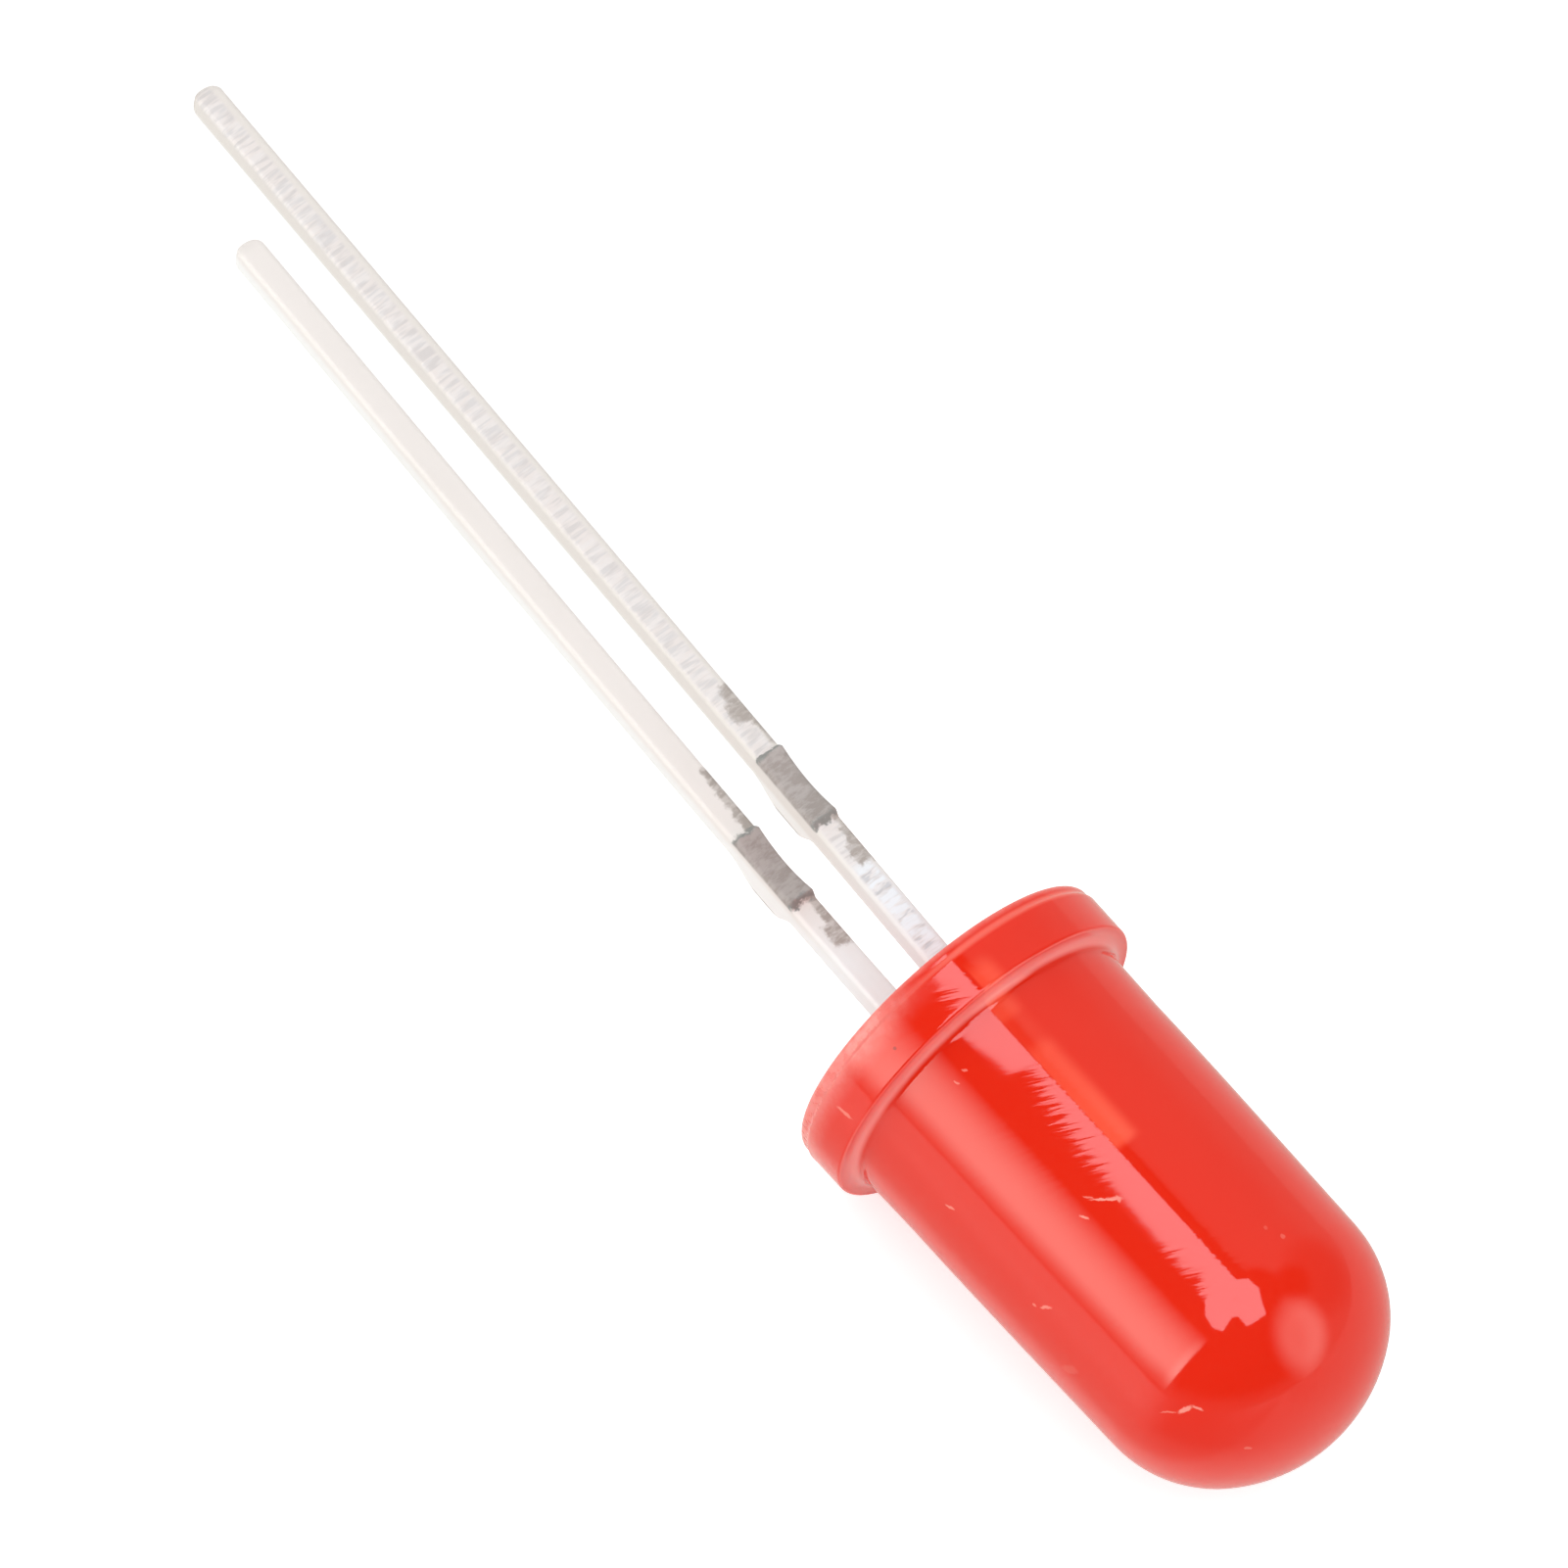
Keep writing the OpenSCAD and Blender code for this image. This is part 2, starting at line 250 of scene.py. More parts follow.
def head_profile():
    """Radius and height of the skin: straight lines joined by arcs that run into them without a kink.

    The crown's centre is on the axis. The shoulder's is SHOULDER_OFF from it, and the two lie so far apart
    that the arcs touch: their distance is the difference of the two radii. Each part of the profile ends
    with the number of its points.
    """
    across = SHOULDER_OFF + CROWN_OVER
    rise = np.sqrt(across**2 - SHOULDER_OFF**2)
    top = HEAD_LEN + rise - across
    room = BARREL_R - SHOULDER_OFF - (top - FLANGE_T) * np.tan(DRAFT)
    shoulder_r = room * np.cos(DRAFT) / (1 - np.sin(DRAFT))
    shoulder_x = top - shoulder_r
    crown_r = shoulder_r + across
    turn = np.degrees(np.arctan2(rise, SHOULDER_OFF))
    edge = FLANGE_R - EDGE_R
    front_edge = FLANGE_R - FRONT_EDGE_R
    root_x = BARREL_R - ROOT_R * np.tan(DRAFT) + ROOT_R / np.cos(DRAFT)
    draft = np.degrees(DRAFT)
    fillet = arc((root_x, FLANGE_T + ROOT_R), ROOT_R, 270, 180 + draft, 9)
    shoulder = arc((SHOULDER_OFF, shoulder_x), shoulder_r, draft, turn, 34)
    crown = arc((0.0, HEAD_LEN - crown_r), crown_r, turn, 90, 26)
    parts = [
        line((0.0, 0.0), (edge, 0.0), 52),
        arc((edge, EDGE_R), EDGE_R, -90, 0, 8),
        line((FLANGE_R, EDGE_R), (FLANGE_R, FLANGE_T - FRONT_EDGE_R), 38),
        arc((front_edge, FLANGE_T - FRONT_EDGE_R), FRONT_EDGE_R, 0, 90, 10),
        line((front_edge, FLANGE_T), (root_x, FLANGE_T), 3),
        fillet,
        line((fillet[0][-1], fillet[1][-1]), (shoulder[0][0], shoulder[1][0]), 125),
        shoulder,
        (crown[0][1:-1], crown[1][1:-1]),
    ]
    r, x = (np.concatenate([part[k] for part in parts]) for k in (0, 1))
    print("shoulder radius", round(shoulder_r, 2), "mm, crown radius", round(crown_r, 2), "mm")
    return r, x, shoulder_x


# %% Lip and shrinkage
LIP_X, LIP_LEN, LIP_DROP = 0.25, 0.07, 0.03
FLANGE_DRAFT = np.radians(0.5)
FLANGE_DRAFT_BAND = 0.2
SHRINK_SLOPE, SHRINK_FROM, SHRINK_RISE = 0.024, 2.02, 0.22
SHRINK_FADE_FROM, SHRINK_FADE = 2.15, 1.1
SWELL_SLOPE, SWELL_TO, SWELL_FADE = 0.010, 1.1, 0.9

# Each ripple before the dome: where it is, its half width and its slope.
RIPPLES = [(6.3, 0.11, 0.008), (6.58, 0.1, -0.004)]


def lip(r, x):
    """How far the flange stands back: LIP_DROP behind the lip, and FLANGE_DRAFT from the lip forward.

    Both are less towards the axis.
    """
    ahead = np.clip(x - LIP_X, 0, FLANGE_T - LIP_X) * (x < FLANGE_T + 1e-9)
    taper = np.tan(FLANGE_DRAFT) * ahead * smooth((r - BARREL_R) / FLANGE_DRAFT_BAND)
    step_in = LIP_DROP * smooth((LIP_X - x) / LIP_LEN)
    return (step_in + taper) * np.clip(r / (FLANGE_R - EDGE_R), 0, 1)


def shrinkage(x, shoulder_x):
    """How far the barrel stands back: the sum of a small slope, from each place on to the shoulder.

    The slope starts at SHRINK_FROM as a soft step and fades by exp(-distance / SHRINK_FADE). Before it,
    from the flange on, the barrel swells a little. Each ripple is a bell, exp(-(distance / width)^2).
    """
    at = np.linspace(FLANGE_T, shoulder_x, 800)
    slope = SHRINK_SLOPE * smooth((at - SHRINK_FROM) / SHRINK_RISE)
    slope *= np.exp(-np.maximum(at - SHRINK_FADE_FROM, 0) / SHRINK_FADE)
    slope -= SWELL_SLOPE * (1 - smooth((at - SWELL_TO) / SWELL_FADE))
    for middle, width, most in RIPPLES:
        slope += most * np.exp(-(((at - middle) / width) ** 2))
    total = np.cumsum(slope) * (at[1] - at[0])
    return (total[-1] - np.interp(x, at, total)) * smooth((x - FLANGE_T) / ROOT_R)


# %% Skin of the head
HEAD_COLUMNS = 320
FLAT_SOFT = 0.012
RAMP_REACH = 0.16
RAMP_HIGH = 0.14
DISH = 0.035
UNDERSIDE_R = FLANGE_R - EDGE_R - 0.02


def leg_distance(y, z, leg_z):
    """Distance from a point of the underside to the square that a leg's section fills there."""
    return np.hypot(np.maximum(abs(y) - LEAD_HALF, 0), np.maximum(abs(z - leg_z) - LEAD_HALF, 0))


def head_skin():
    """The profile carried round X, with the flat, the dished underside and the ramps at the legs.

    The flat: z becomes the larger of itself and -FLAT, rounded by FLAT_SOFT where the two meet.
    The dish: the underside rises by DISH (1 - (r / edge)^2).
    The ramps: it falls by RAMP_HIGH (1 - distance / RAMP_REACH)^2 near each leg.
    """
    r, x, shoulder_x = head_profile()
    angle = np.linspace(0, 2 * np.pi, HEAD_COLUMNS, endpoint=False)
    ring = (r - lip(r, x) - shrinkage(x, shoulder_x))[:, None]
    y, z = ring * np.sin(angle), ring * np.cos(angle)
    z = np.where(z < 0, (z - FLAT + np.sqrt((z + FLAT) ** 2 + FLAT_SOFT**2)) / 2, z)
    x = np.repeat(x[:, None], HEAD_COLUMNS, axis=1)
    under = (x < 1e-6) & (ring < UNDERSIDE_R)
    near = np.minimum(leg_distance(y, z, LEAD_Z), leg_distance(y, z, -LEAD_Z))
    dish = DISH * (1 - (ring / (FLANGE_R - EDGE_R)) ** 2)
    ramp = RAMP_HIGH * np.clip(1 - near / RAMP_REACH, 0, 1) ** 2
    x = np.where(under, dish - ramp, x)
    return np.stack([x, y, z], axis=-1)


epoxy_head = make_piece("epoxy_head", [head_skin()])

# %% [markdown]
# ## The lead frame
#
# Legs, post and anvil are stamped from one sheet, so each is a flat outline of even thickness, and the tin
# that it is dipped in rounds its edges. The skin runs along the leg: each ring is the section at that
# place, a rectangle with rounded corners, as wide as the outline is there. The stubs are what is left of
# the tie bar that held the frame together until the legs were cut free. Above each leg the cut went down to
# the leg, and below it a bulge was left. A loose leg is never quite straight, so each has a slight spring
# in it. A flat outline with a Solidify and a Bevel modifier would come close to all that. Rings are chosen
# because tip, stub, flag and spring are then plain sums along x.


# %% Section of a leg
SECTION_R = 0.075
CORNER_STEPS = 8
FACE_STEPS = 5


def rounded_section():
    """The ring of a rectangle with rounded corners, as signs and offsets that fit any half width.

    Each point is sign * (half width - SECTION_R) + SECTION_R * direction.
    """
    signs, offsets = [], []
    corners = [(1, 1), (-1, 1), (-1, -1), (1, -1)]
    for k, corner in enumerate(corners):
        a = np.radians(90 * k + np.linspace(0, 90, CORNER_STEPS))
        signs.append(np.repeat([corner], CORNER_STEPS, axis=0).astype(float))
        offsets.append(np.stack([np.cos(a), np.sin(a)], axis=-1) * SECTION_R)
        t = np.linspace(0, 1, FACE_STEPS + 2)[1:-1, None]
        after = np.array(corners[(k + 1) % 4], dtype=float)
        signs.append(np.array(corner) * (1 - t) + after * t)
        face = np.array([np.cos(a[-1]), np.sin(a[-1])]) * SECTION_R
        offsets.append(np.repeat([face], FACE_STEPS, axis=0))
    return np.vstack(signs), np.vstack(offsets)


# %% Outline of a leg
TIP_ROUND = 0.2
TIP_LEN = 1.1 * TIP_ROUND
STUB_FROM, STUB_TO = -4.5, -3.0
STUB_OUT, STUB_OUT_RISE, STUB_OUT_FALL = 0.25, 0.7, 0.35
STUB_ENDS_OUT, STUB_SLOPE = 0.12, 0.12
STATION_GAP = 0.1
MARK_BEFORE, MARK_AFTER = 0.12, 0.36


def stub_low(x):
    """The bulge below a leg: out over STUB_OUT_RISE and back over STUB_OUT_FALL, both S-shaped."""
    return STUB_OUT * smooth((x - STUB_FROM) / STUB_OUT_RISE) * smooth((STUB_TO - x) / STUB_OUT_FALL)


def stub_high(x):
    """The cut above a leg: the square of the way from its middle to an end, where an S closes it."""
    middle = (STUB_FROM + STUB_TO) / 2
    half = (STUB_TO - STUB_FROM) / 2 - STUB_SLOPE
    hollow = np.clip(abs(x - middle) / half, 0, 1) ** 2
    slopes = smooth((x - STUB_FROM) / STUB_SLOPE) * smooth((STUB_TO - x) / STUB_SLOPE)
    return STUB_ENDS_OUT * hollow * slopes


def stations(tip, end, marks):
    """Places along a leg: one every STATION_GAP, and closer where tip, stub and marks need it."""
    fine = [np.linspace(m - MARK_BEFORE, m + MARK_AFTER, 25) for m in marks]
    stub = np.linspace(STUB_FROM, STUB_TO, 41)
    tips = tip + TIP_LEN * (1 - np.cos(np.linspace(0, np.pi / 2, 12)))
    ends = [tips, end - SECTION_R * np.linspace(0, 1, 6)]
    x = np.unique(np.round(np.concatenate([np.arange(tip, end, STATION_GAP), stub, *fine, *ends]), 4))
    return x[(x >= tip) & (x <= end)]


def stamped_skin(x, low, high, tip, aside):
    """A closed skin along x: low and high are the outline's two edges, in z, and aside is its spring.

    At the cut tip both half widths shrink by TIP_ROUND along a quarter of an ellipse, and at the other end
    they shrink by the corner's radius along a quarter of a circle.
    """
    signs, offsets = rounded_section()
    cut = np.sqrt(np.clip(1 - np.clip(1 - (x - tip) / TIP_LEN, 0, 1) ** 2, 0, 1))
    end = np.sqrt(np.clip(1 - np.clip(1 - (x[-1] - x) / SECTION_R, 0, 1) ** 2, 0, 1))
    shrink = TIP_ROUND * (1 - cut) + SECTION_R * (1 - end)
    half_z = ((high - low) / 2 - shrink)[:, None]
    half_y = (LEAD_HALF - shrink)[:, None]
    middle = ((high + low) / 2)[:, None]
    corner = np.minimum(1, half_y / SECTION_R)
    y = aside[:, None] + signs[:, 0] * (half_y - SECTION_R * corner) + offsets[:, 0] * corner
    z = middle + signs[:, 1] * (half_z - SECTION_R * corner) + offsets[:, 1] * corner
    return lean(np.stack([np.repeat(x[:, None], len(signs), axis=1), y, z], axis=-1))


# %% Anode: leg, post and flag
POST_H = 3.8
FLAG_INNER = 0.82
FLAG_FROM, FLAG_SLOPE = 1.85, 0.45
ANODE_SPRING = 0.0049


def anode_skin():
    """The long leg, with its inner edge stepping in to the wide flag at the top of the post.

    Outside the head it springs towards +Y by ANODE_SPRING times the way from the head.
    """
    x = stations(ANODE_TIP, POST_H, [STUB_FROM, STUB_TO - MARK_AFTER, FLAG_FROM, FLAG_FROM + 0.35])
    inner = LEAD_Z - LEAD_HALF
    inner += (FLAG_INNER - inner) * smooth((x - FLAG_FROM) / FLAG_SLOPE)
    aside = ANODE_SPRING * np.clip(-x, 0, None)
    return stamped_skin(x, inner - stub_low(x), LEAD_Z + LEAD_HALF + stub_high(x), ANODE_TIP, aside)


anode_leg = make_piece("anode_leg", [anode_skin()])

# %% Cathode: leg, anvil and cup
CUP_FOOT_H, CUP_RIM_H, CUP_FLOOR_H = 3.0, 3.7, 3.34
ANVIL_H, ANVIL_SLOPE, ANVIL_OUT = 2.3, 0.6, 0.14
CUP_FOOT_R, CUP_RIM_R, CUP_MOUTH_R, CUP_FLOOR_R = 0.45, 0.6, 0.52, 0.31
CUP_COLUMNS = 96
CATHODE_BOW, CATHODE_BOW_END, CATHODE_BOW_POWER = 0.08, -14.3, 0.6


def cathode_skin():
    """The short leg, which widens to the anvil under the cup.

    It bows towards -Y by CATHODE_BOW sin(pi t^CATHODE_BOW_POWER). At CATHODE_BOW_END t is 1.
    """
    marks = [STUB_FROM, STUB_TO - MARK_AFTER, ANVIL_H - ANVIL_SLOPE, ANVIL_H]
    x = stations(CATHODE_TIP, CUP_FOOT_H, marks)
    widen = smooth((x - ANVIL_H + ANVIL_SLOPE) / ANVIL_SLOPE)
    low = -LEAD_Z - LEAD_HALF - stub_low(x) - ANVIL_OUT * widen
    high = -LEAD_Z + LEAD_HALF + stub_high(x) + (CUP_FOOT_R + LEAD_Z - LEAD_HALF) * widen
    t = np.clip(x / CATHODE_BOW_END, 0, None)
    aside = -CATHODE_BOW * np.sin(np.pi * t**CATHODE_BOW_POWER)
    return stamped_skin(x, low, high, CATHODE_TIP, aside)


def cup_skin():
    """The cup turned about the optical axis: out, up the outside, over the rim, down the reflector."""
    x, r = np.array([
        (CUP_FOOT_H - 0.01, 0.1),
        (CUP_FOOT_H - 0.01, CUP_FOOT_R),
        (CUP_RIM_H - 0.02, CUP_RIM_R - 0.004),
        (CUP_RIM_H, CUP_RIM_R - 0.02),
        (CUP_RIM_H, CUP_MOUTH_R + 0.01),
        (CUP_RIM_H - 0.01, CUP_MOUTH_R),
        (CUP_FLOOR_H + 0.02, CUP_FLOOR_R),
        (CUP_FLOOR_H, CUP_FLOOR_R - 0.02),
        (CUP_FLOOR_H, 0.1),
    ]).T
    a = np.linspace(0, 2 * np.pi, CUP_COLUMNS, endpoint=False)
    x = np.repeat(x[:, None], CUP_COLUMNS, axis=1)
    return lean(np.stack([x, r[:, None] * np.sin(a), r[:, None] * np.cos(a)], axis=-1))


cathode_leg = make_piece("cathode_leg", [cathode_skin(), cup_skin()])

# %% [markdown]
# ## Node helpers
#
# A material is a little network of nodes. These helpers add one node, one sum or one soft step at a time,
# and give back the socket that carries the result, so that a finish reads like a recipe: a base colour, and
# coats that lie over it where their masks are 1.


# %% Shader helpers
def bare_finish(name):
    """An empty node material: returns it, its tree and its output node."""
    finish = bpy.data.materials.new(name)
    finish.use_nodes = True
    tree = finish.node_tree
    tree.nodes.clear()
    return finish, tree, tree.nodes.new("ShaderNodeOutputMaterial")


def new_finish(name):
    """A material with a Principled shader on its output: returns it, its tree and the shader."""
    finish, tree, out = bare_finish(name)
    shader = tree.nodes.new("ShaderNodeBsdfPrincipled")
    tree.links.new(shader.outputs[0], out.inputs["Surface"])
    return finish, tree, shader


def feed(tree, node, inputs):
    """Joins a node's inputs to the sockets given for them, and sets those that are given a value."""
    for key, value in inputs.items():
        if isinstance(value, bpy.types.NodeSocket):
            tree.links.new(value, node.inputs[key])
        else:
            node.inputs[key].default_value = value


def add(tree, kind, inputs=None, **settings):
    """Adds a node, sets its own settings, and sets or joins its inputs."""
    node = tree.nodes.new("ShaderNode" + kind)
    for key, value in settings.items():
        setattr(node, key, value)
    feed(tree, node, inputs or {})
    return node


def calc(tree, operation, a, b=0.0, c=0.0):
    """One step of arithmetic."""
    return add(tree, "Math", {0: a, 1: b, 2: c}, operation=operation).outputs[0]


def times(tree, value, *others):
    """The product of two or more values."""
    for other in others:
        value = calc(tree, "MULTIPLY", value, other)
    return value


def plus(tree, value, *others):
    """The sum of two or more values."""
    for other in others:
        value = calc(tree, "ADD", value, other)
    return value


def between(tree, mask, low, high):
    """low where the mask is 0, high where it is 1, and low + mask (high - low) between."""
    return calc(tree, "MULTIPLY_ADD", mask, high - low, low)


def step(tree, value, start, end):
    """A soft step from 0 at start to 1 at end; the other way round if end is the smaller."""
    inputs = {"Value": value, "From Min": start, "From Max": end, "To Min": 0.0, "To Max": 1.0}
    return add(tree, "MapRange", inputs, interpolation_type="SMOOTHSTEP").outputs["Result"]


def band(tree, value, a, b, c, d):
    """1 between b and c, and 0 outside a and d."""
    return times(tree, step(tree, value, a, b), step(tree, value, d, c))


def place(tree):
    """The point's own place on its piece in millimetres: as a vector, and as x, y and z."""
    metres = add(tree, "TexCoord").outputs["Object"]
    where = add(tree, "VectorMath", {0: metres, "Scale": 1 / MM}, operation="SCALE").outputs[0]
    x, y, z = add(tree, "SeparateXYZ", {"Vector": where}).outputs
    return where, x, y, z


def noise(tree, where, scale, detail, rough=0.5):
    """Noise of that many blotches to the millimetre along x, y and z, from 0 to 1."""
    stretched = add(tree, "Mapping", {"Vector": where, "Scale": scale}).outputs[0]
    inputs = {"Vector": stretched, "Scale": 1.0, "Detail": detail, "Roughness": rough}
    return add(tree, "TexNoise", inputs).outputs["Fac"]


def blend(tree, factor, a, b):
    """a where the factor is 0, b where it is 1, and a mix of the two colours between."""
    return add(tree, "Mix", {0: factor, 6: a, 7: b}, data_type="RGBA").outputs[2]


def paint(tree, colour, coats):
    """Lays coats over a colour. Each is a colour, the mask that it lies in and how well it covers there."""
    for coat, mask, cover in coats:
        colour = blend(tree, times(tree, mask, cover), colour, coat)
    return colour


# %% [markdown]
# ## Red epoxy
#
# A diffused head is dyed epoxy with a fine white powder in it. Light goes in and wanders about, so the
# colour is deep and even and the shadows are soft. A cloudy volume in a clear skin would do that, but it is
# slow and noisy, and from outside it looks like subsurface scattering, which is chosen here. Close above
# the anode's post the frame shines through as a pale orange stripe. As nothing can be seen through this
# shader, the stripe is a coat of colour. The rim at the mould's mouth is frosted. The highlights on the
# flange's edges are painted as pale lines.

# %% Colours of the head
EPOXY = (0.77, 0.022, 0.007, 1.0)
EPOXY_PALE = (0.86, 0.08, 0.04, 1.0)
POST_GLOW = (0.95, 0.105, 0.055, 1.0)
# The next two are painted highlights: pale lines on the lip and on the flange's front edge.
LIP_HIGHLIGHT = (1.0, 0.26, 0.20, 1.0)
FACE_EDGE_HIGHLIGHT = (1.0, 0.30, 0.27, 1.0)
FROST = (0.90, 0.34, 0.30, 1.0)
LINT = (0.96, 0.36, 0.28, 1.0)
SPECK = (0.30, 0.012, 0.008, 1.0)

# %% The post in the epoxy
# Four numbers are a band, in mm: where it starts, is full, begins to fade and has gone. Two are a soft
# step: where it is 0 and where it is 1.
POST_ALONG = (0.35, 0.75, 3.92, 4.10)
POST_ACROSS = (-0.41, -0.35, -0.14, 0.13)
POST_ABOVE = (1.0, 1.6)
POST_DIM = (1.3, 1.5, 1.85, 2.15)
POST_NEARS_SKIN = (2.2, 3.8)


def post_stripe(tree, x, y, z):
    """A band along the post and across it, on the upper side, dim at its middle and full at its top."""
    stripe = times(tree, band(tree, x, *POST_ALONG), band(tree, y, *POST_ACROSS))
    dim = between(tree, band(tree, x, *POST_DIM), 1.0, 0.3)
    near = between(tree, step(tree, x, *POST_NEARS_SKIN), 0.7, 1.0)
    return times(tree, stripe, step(tree, z, *POST_ABOVE), dim, near)


# %% Painted highlights on the flange's edges, and frost
FACE_EDGE = (0.925, 0.945, 0.985, 1.06)
FACE_INNER = (2.81, 2.64)
LIP_EDGE = (0.12, 0.19, 0.21, 0.30)
LIP_FAR_SIDE = (-1.4, -0.2)
RIM_FROST = (0.16, 0.0)
LOW_FROST = (0.62, 0.02)
LOW_SIDE = (-0.7, -1.9)


def flange_edge_highlight(tree, x, y, z):
    """Painted highlight: a pale line round the flange's front edge, stronger on its face than on its rim.
    """
    radius = calc(tree, "SQRT", plus(tree, times(tree, y, y), times(tree, z, z)))
    inner = between(tree, step(tree, radius, *FACE_INNER), 0.3, 0.75)
    return times(tree, band(tree, x, *FACE_EDGE), inner)


def lip_highlight(tree, x, y):
    """Painted highlight: a pale line along the lip, which is faint on the side towards -Y."""
    return times(tree, band(tree, x, *LIP_EDGE), between(tree, step(tree, y, *LIP_FAR_SIDE), 0.1, 0.48))


def frosting(tree, where, x, y):
    """Frost on the rim at the mould's mouth, wider and stronger towards -Y, and patchy with the grain."""
    low = times(tree, step(tree, x, *LOW_FROST), step(tree, y, *LOW_SIDE), 0.8)
    frost = calc(tree, "MAXIMUM", times(tree, step(tree, x, *RIM_FROST), 0.6), low)
    grain = noise(tree, where, (6.0, 6.0, 6.0), 3.0, 0.6)
    return times(tree, frost, between(tree, step(tree, grain, 0.3, 0.7), 0.65, 1.0))


# %% [markdown]
# A few bits of lint and scratches lie on the head. They could be drawn on an image that is wrapped round
# it, but ellipses in the material stay sharp at any size. They need places on a round surface, so the
# barrel is unrolled: one axis is x, and the other is the length of arc from the top towards -Y. Each fleck
# is an ellipse there, a little frayed by noise.

# %% Flecks on the head
FRAY_BLOTCHES = 11.0
FRAY_REACH = 0.06
FLECK_EDGE = (1.15, 0.55)

# Each fleck: place along x, degrees from the top towards -Y, half length and half width in mm, slant in
# degrees, and how strongly it shows.
FLECKS = [
    (4.48, 24.0, 0.26, 0.020, -48.0, 0.8),
    (4.61, 20.5, 0.07, 0.030, 10.0, 0.6),
    (4.45, 33.5, 0.09, 0.022, -30.0, 0.7),
    (2.72, 70.5, 0.10, 0.028, -25.0, 0.6),
    (4.86, 69.5, 0.14, 0.030, -50.0, 0.6),
    (4.68, 73.0, 0.04, 0.030, 0.0, 0.5),
    (1.55, 29.5, 0.06, 0.018, -30.0, 0.5),
    (1.60, 34.5, 0.06, 0.018, -20.0, 0.5),
    (4.27, 28.0, 0.09, 0.016, -35.0, 0.5),
    (4.56, 21.5, 0.13, 0.034, -52.0, 0.6),
    (6.33, -12.8, 0.04, 0.035, 0.0, 0.16),
    (6.58, -15.8, 0.05, 0.045, 0.0, 0.26),
    (5.66, 84.5, 0.22, 0.090, -50.0, 0.12),
    (0.64, 68.5, 0.17, 0.030, -8.0, 0.55),
    (7.33, 63.5, 0.15, 0.018, -46.0, 0.45),
    (7.50, 58.0, 0.15, 0.042, -71.0, 0.8),
    (7.62, 54.5, 0.09, 0.030, -13.0, 0.7),
    (8.37, 66.0, 0.04, 0.050, 0.0, 0.3),
]
DARK_SPECK = (0.65, 39.7, 0.035, 0.025, 0.0)


def unrolled_place(tree, where, x, y, z):
    """The barrel laid flat, in mm: along x, and along the arc from the top towards -Y, frayed by noise."""
    turn = calc(tree, "ARCTAN2", times(tree, y, -1.0), z)
    flat = add(tree, "CombineXYZ", {"X": x, "Y": times(tree, turn, BARREL_R)}).outputs[0]
    fray = add(tree, "TexNoise", {"Vector": where, "Scale": FRAY_BLOTCHES, "Detail": 2.0}).outputs["Color"]
    fray = add(tree, "VectorMath", {0: fray, 1: (0.5, 0.5, 0.5)}, operation="SUBTRACT").outputs[0]
    fray = add(tree, "VectorMath", {0: fray, "Scale": FRAY_REACH}, operation="SCALE").outputs[0]
    return add(tree, "VectorMath", {0: flat, 1: fray}, operation="ADD").outputs[0]


def fleck(tree, flat, along, turn, length, width, slant):
    """1 in an ellipse on the unrolled barrel, soft at its edge, 0 outside it."""
    spot = add(tree, "Mapping", {
        "Vector": flat,
        "Location": (along, np.radians(turn) * BARREL_R, 0.0),
        "Rotation": (0.0, 0.0, np.radians(slant)),
        "Scale": (length, width, 1.0),
    }, vector_type="TEXTURE").outputs[0]
    out = add(tree, "VectorMath", {0: spot}, operation="LENGTH").outputs["Value"]
    return step(tree, out, *FLECK_EDGE)


def lint_mask(tree, flat):
    """The strongest of all flecks at each place."""
    lint = 0.0
    for *shape, strength in FLECKS:
        lint = calc(tree, "MAXIMUM", lint, times(tree, fleck(tree, flat, *shape), strength))
    return lint


# %% [markdown]
# The surface is as smooth as the mould, apart from patches of very fine slanting ridges. Modelled as
# geometry they would need millions of faces, so they are a bump. It tilts the surface by a fraction of a
# degree, which is enough to comb the edge of a reflection.

# %% Ridges of the mould
RIDGE_SLANT = np.radians(-30)
RIDGE_WIDTH, RIDGE_LENGTH = 1 / 15, 1 / 1.4
RIDGE_HIGH = 0.0020
RIDGES_LEAST = 0.10

# Each ridged patch: a band along x, and how high the ridges are there.
RIDGED = [((1.95, 2.45, 3.5, 4.8), 0.70), ((5.4, 5.9, 6.45, 6.75), 0.60), ((0.35, 0.55, 0.85, 0.95), 0.75)]


def mould_ridges(tree, where, x):
    """A bump from noise that is stretched along the slant, as high as its patch says."""
    slanted = add(tree, "Mapping", {
        "Vector": where,
        "Rotation": (0.0, 0.0, RIDGE_SLANT),
        "Scale": (RIDGE_WIDTH, RIDGE_LENGTH, RIDGE_LENGTH),
    }, vector_type="TEXTURE").outputs[0]
    ridges = add(tree, "TexNoise", {"Vector": slanted, "Scale": 1.0, "Detail": 1.0, "Roughness": 0.5})
    high = plus(tree, RIDGES_LEAST, *(times(tree, band(tree, x, *patch), most) for patch, most in RIDGED))
    relief = times(tree, plus(tree, ridges.outputs["Fac"], -0.5), high)
    bump = add(tree, "Bump", {"Strength": 1.0, "Distance": RIDGE_HIGH * MM, "Height": relief})
    return bump.outputs[0]


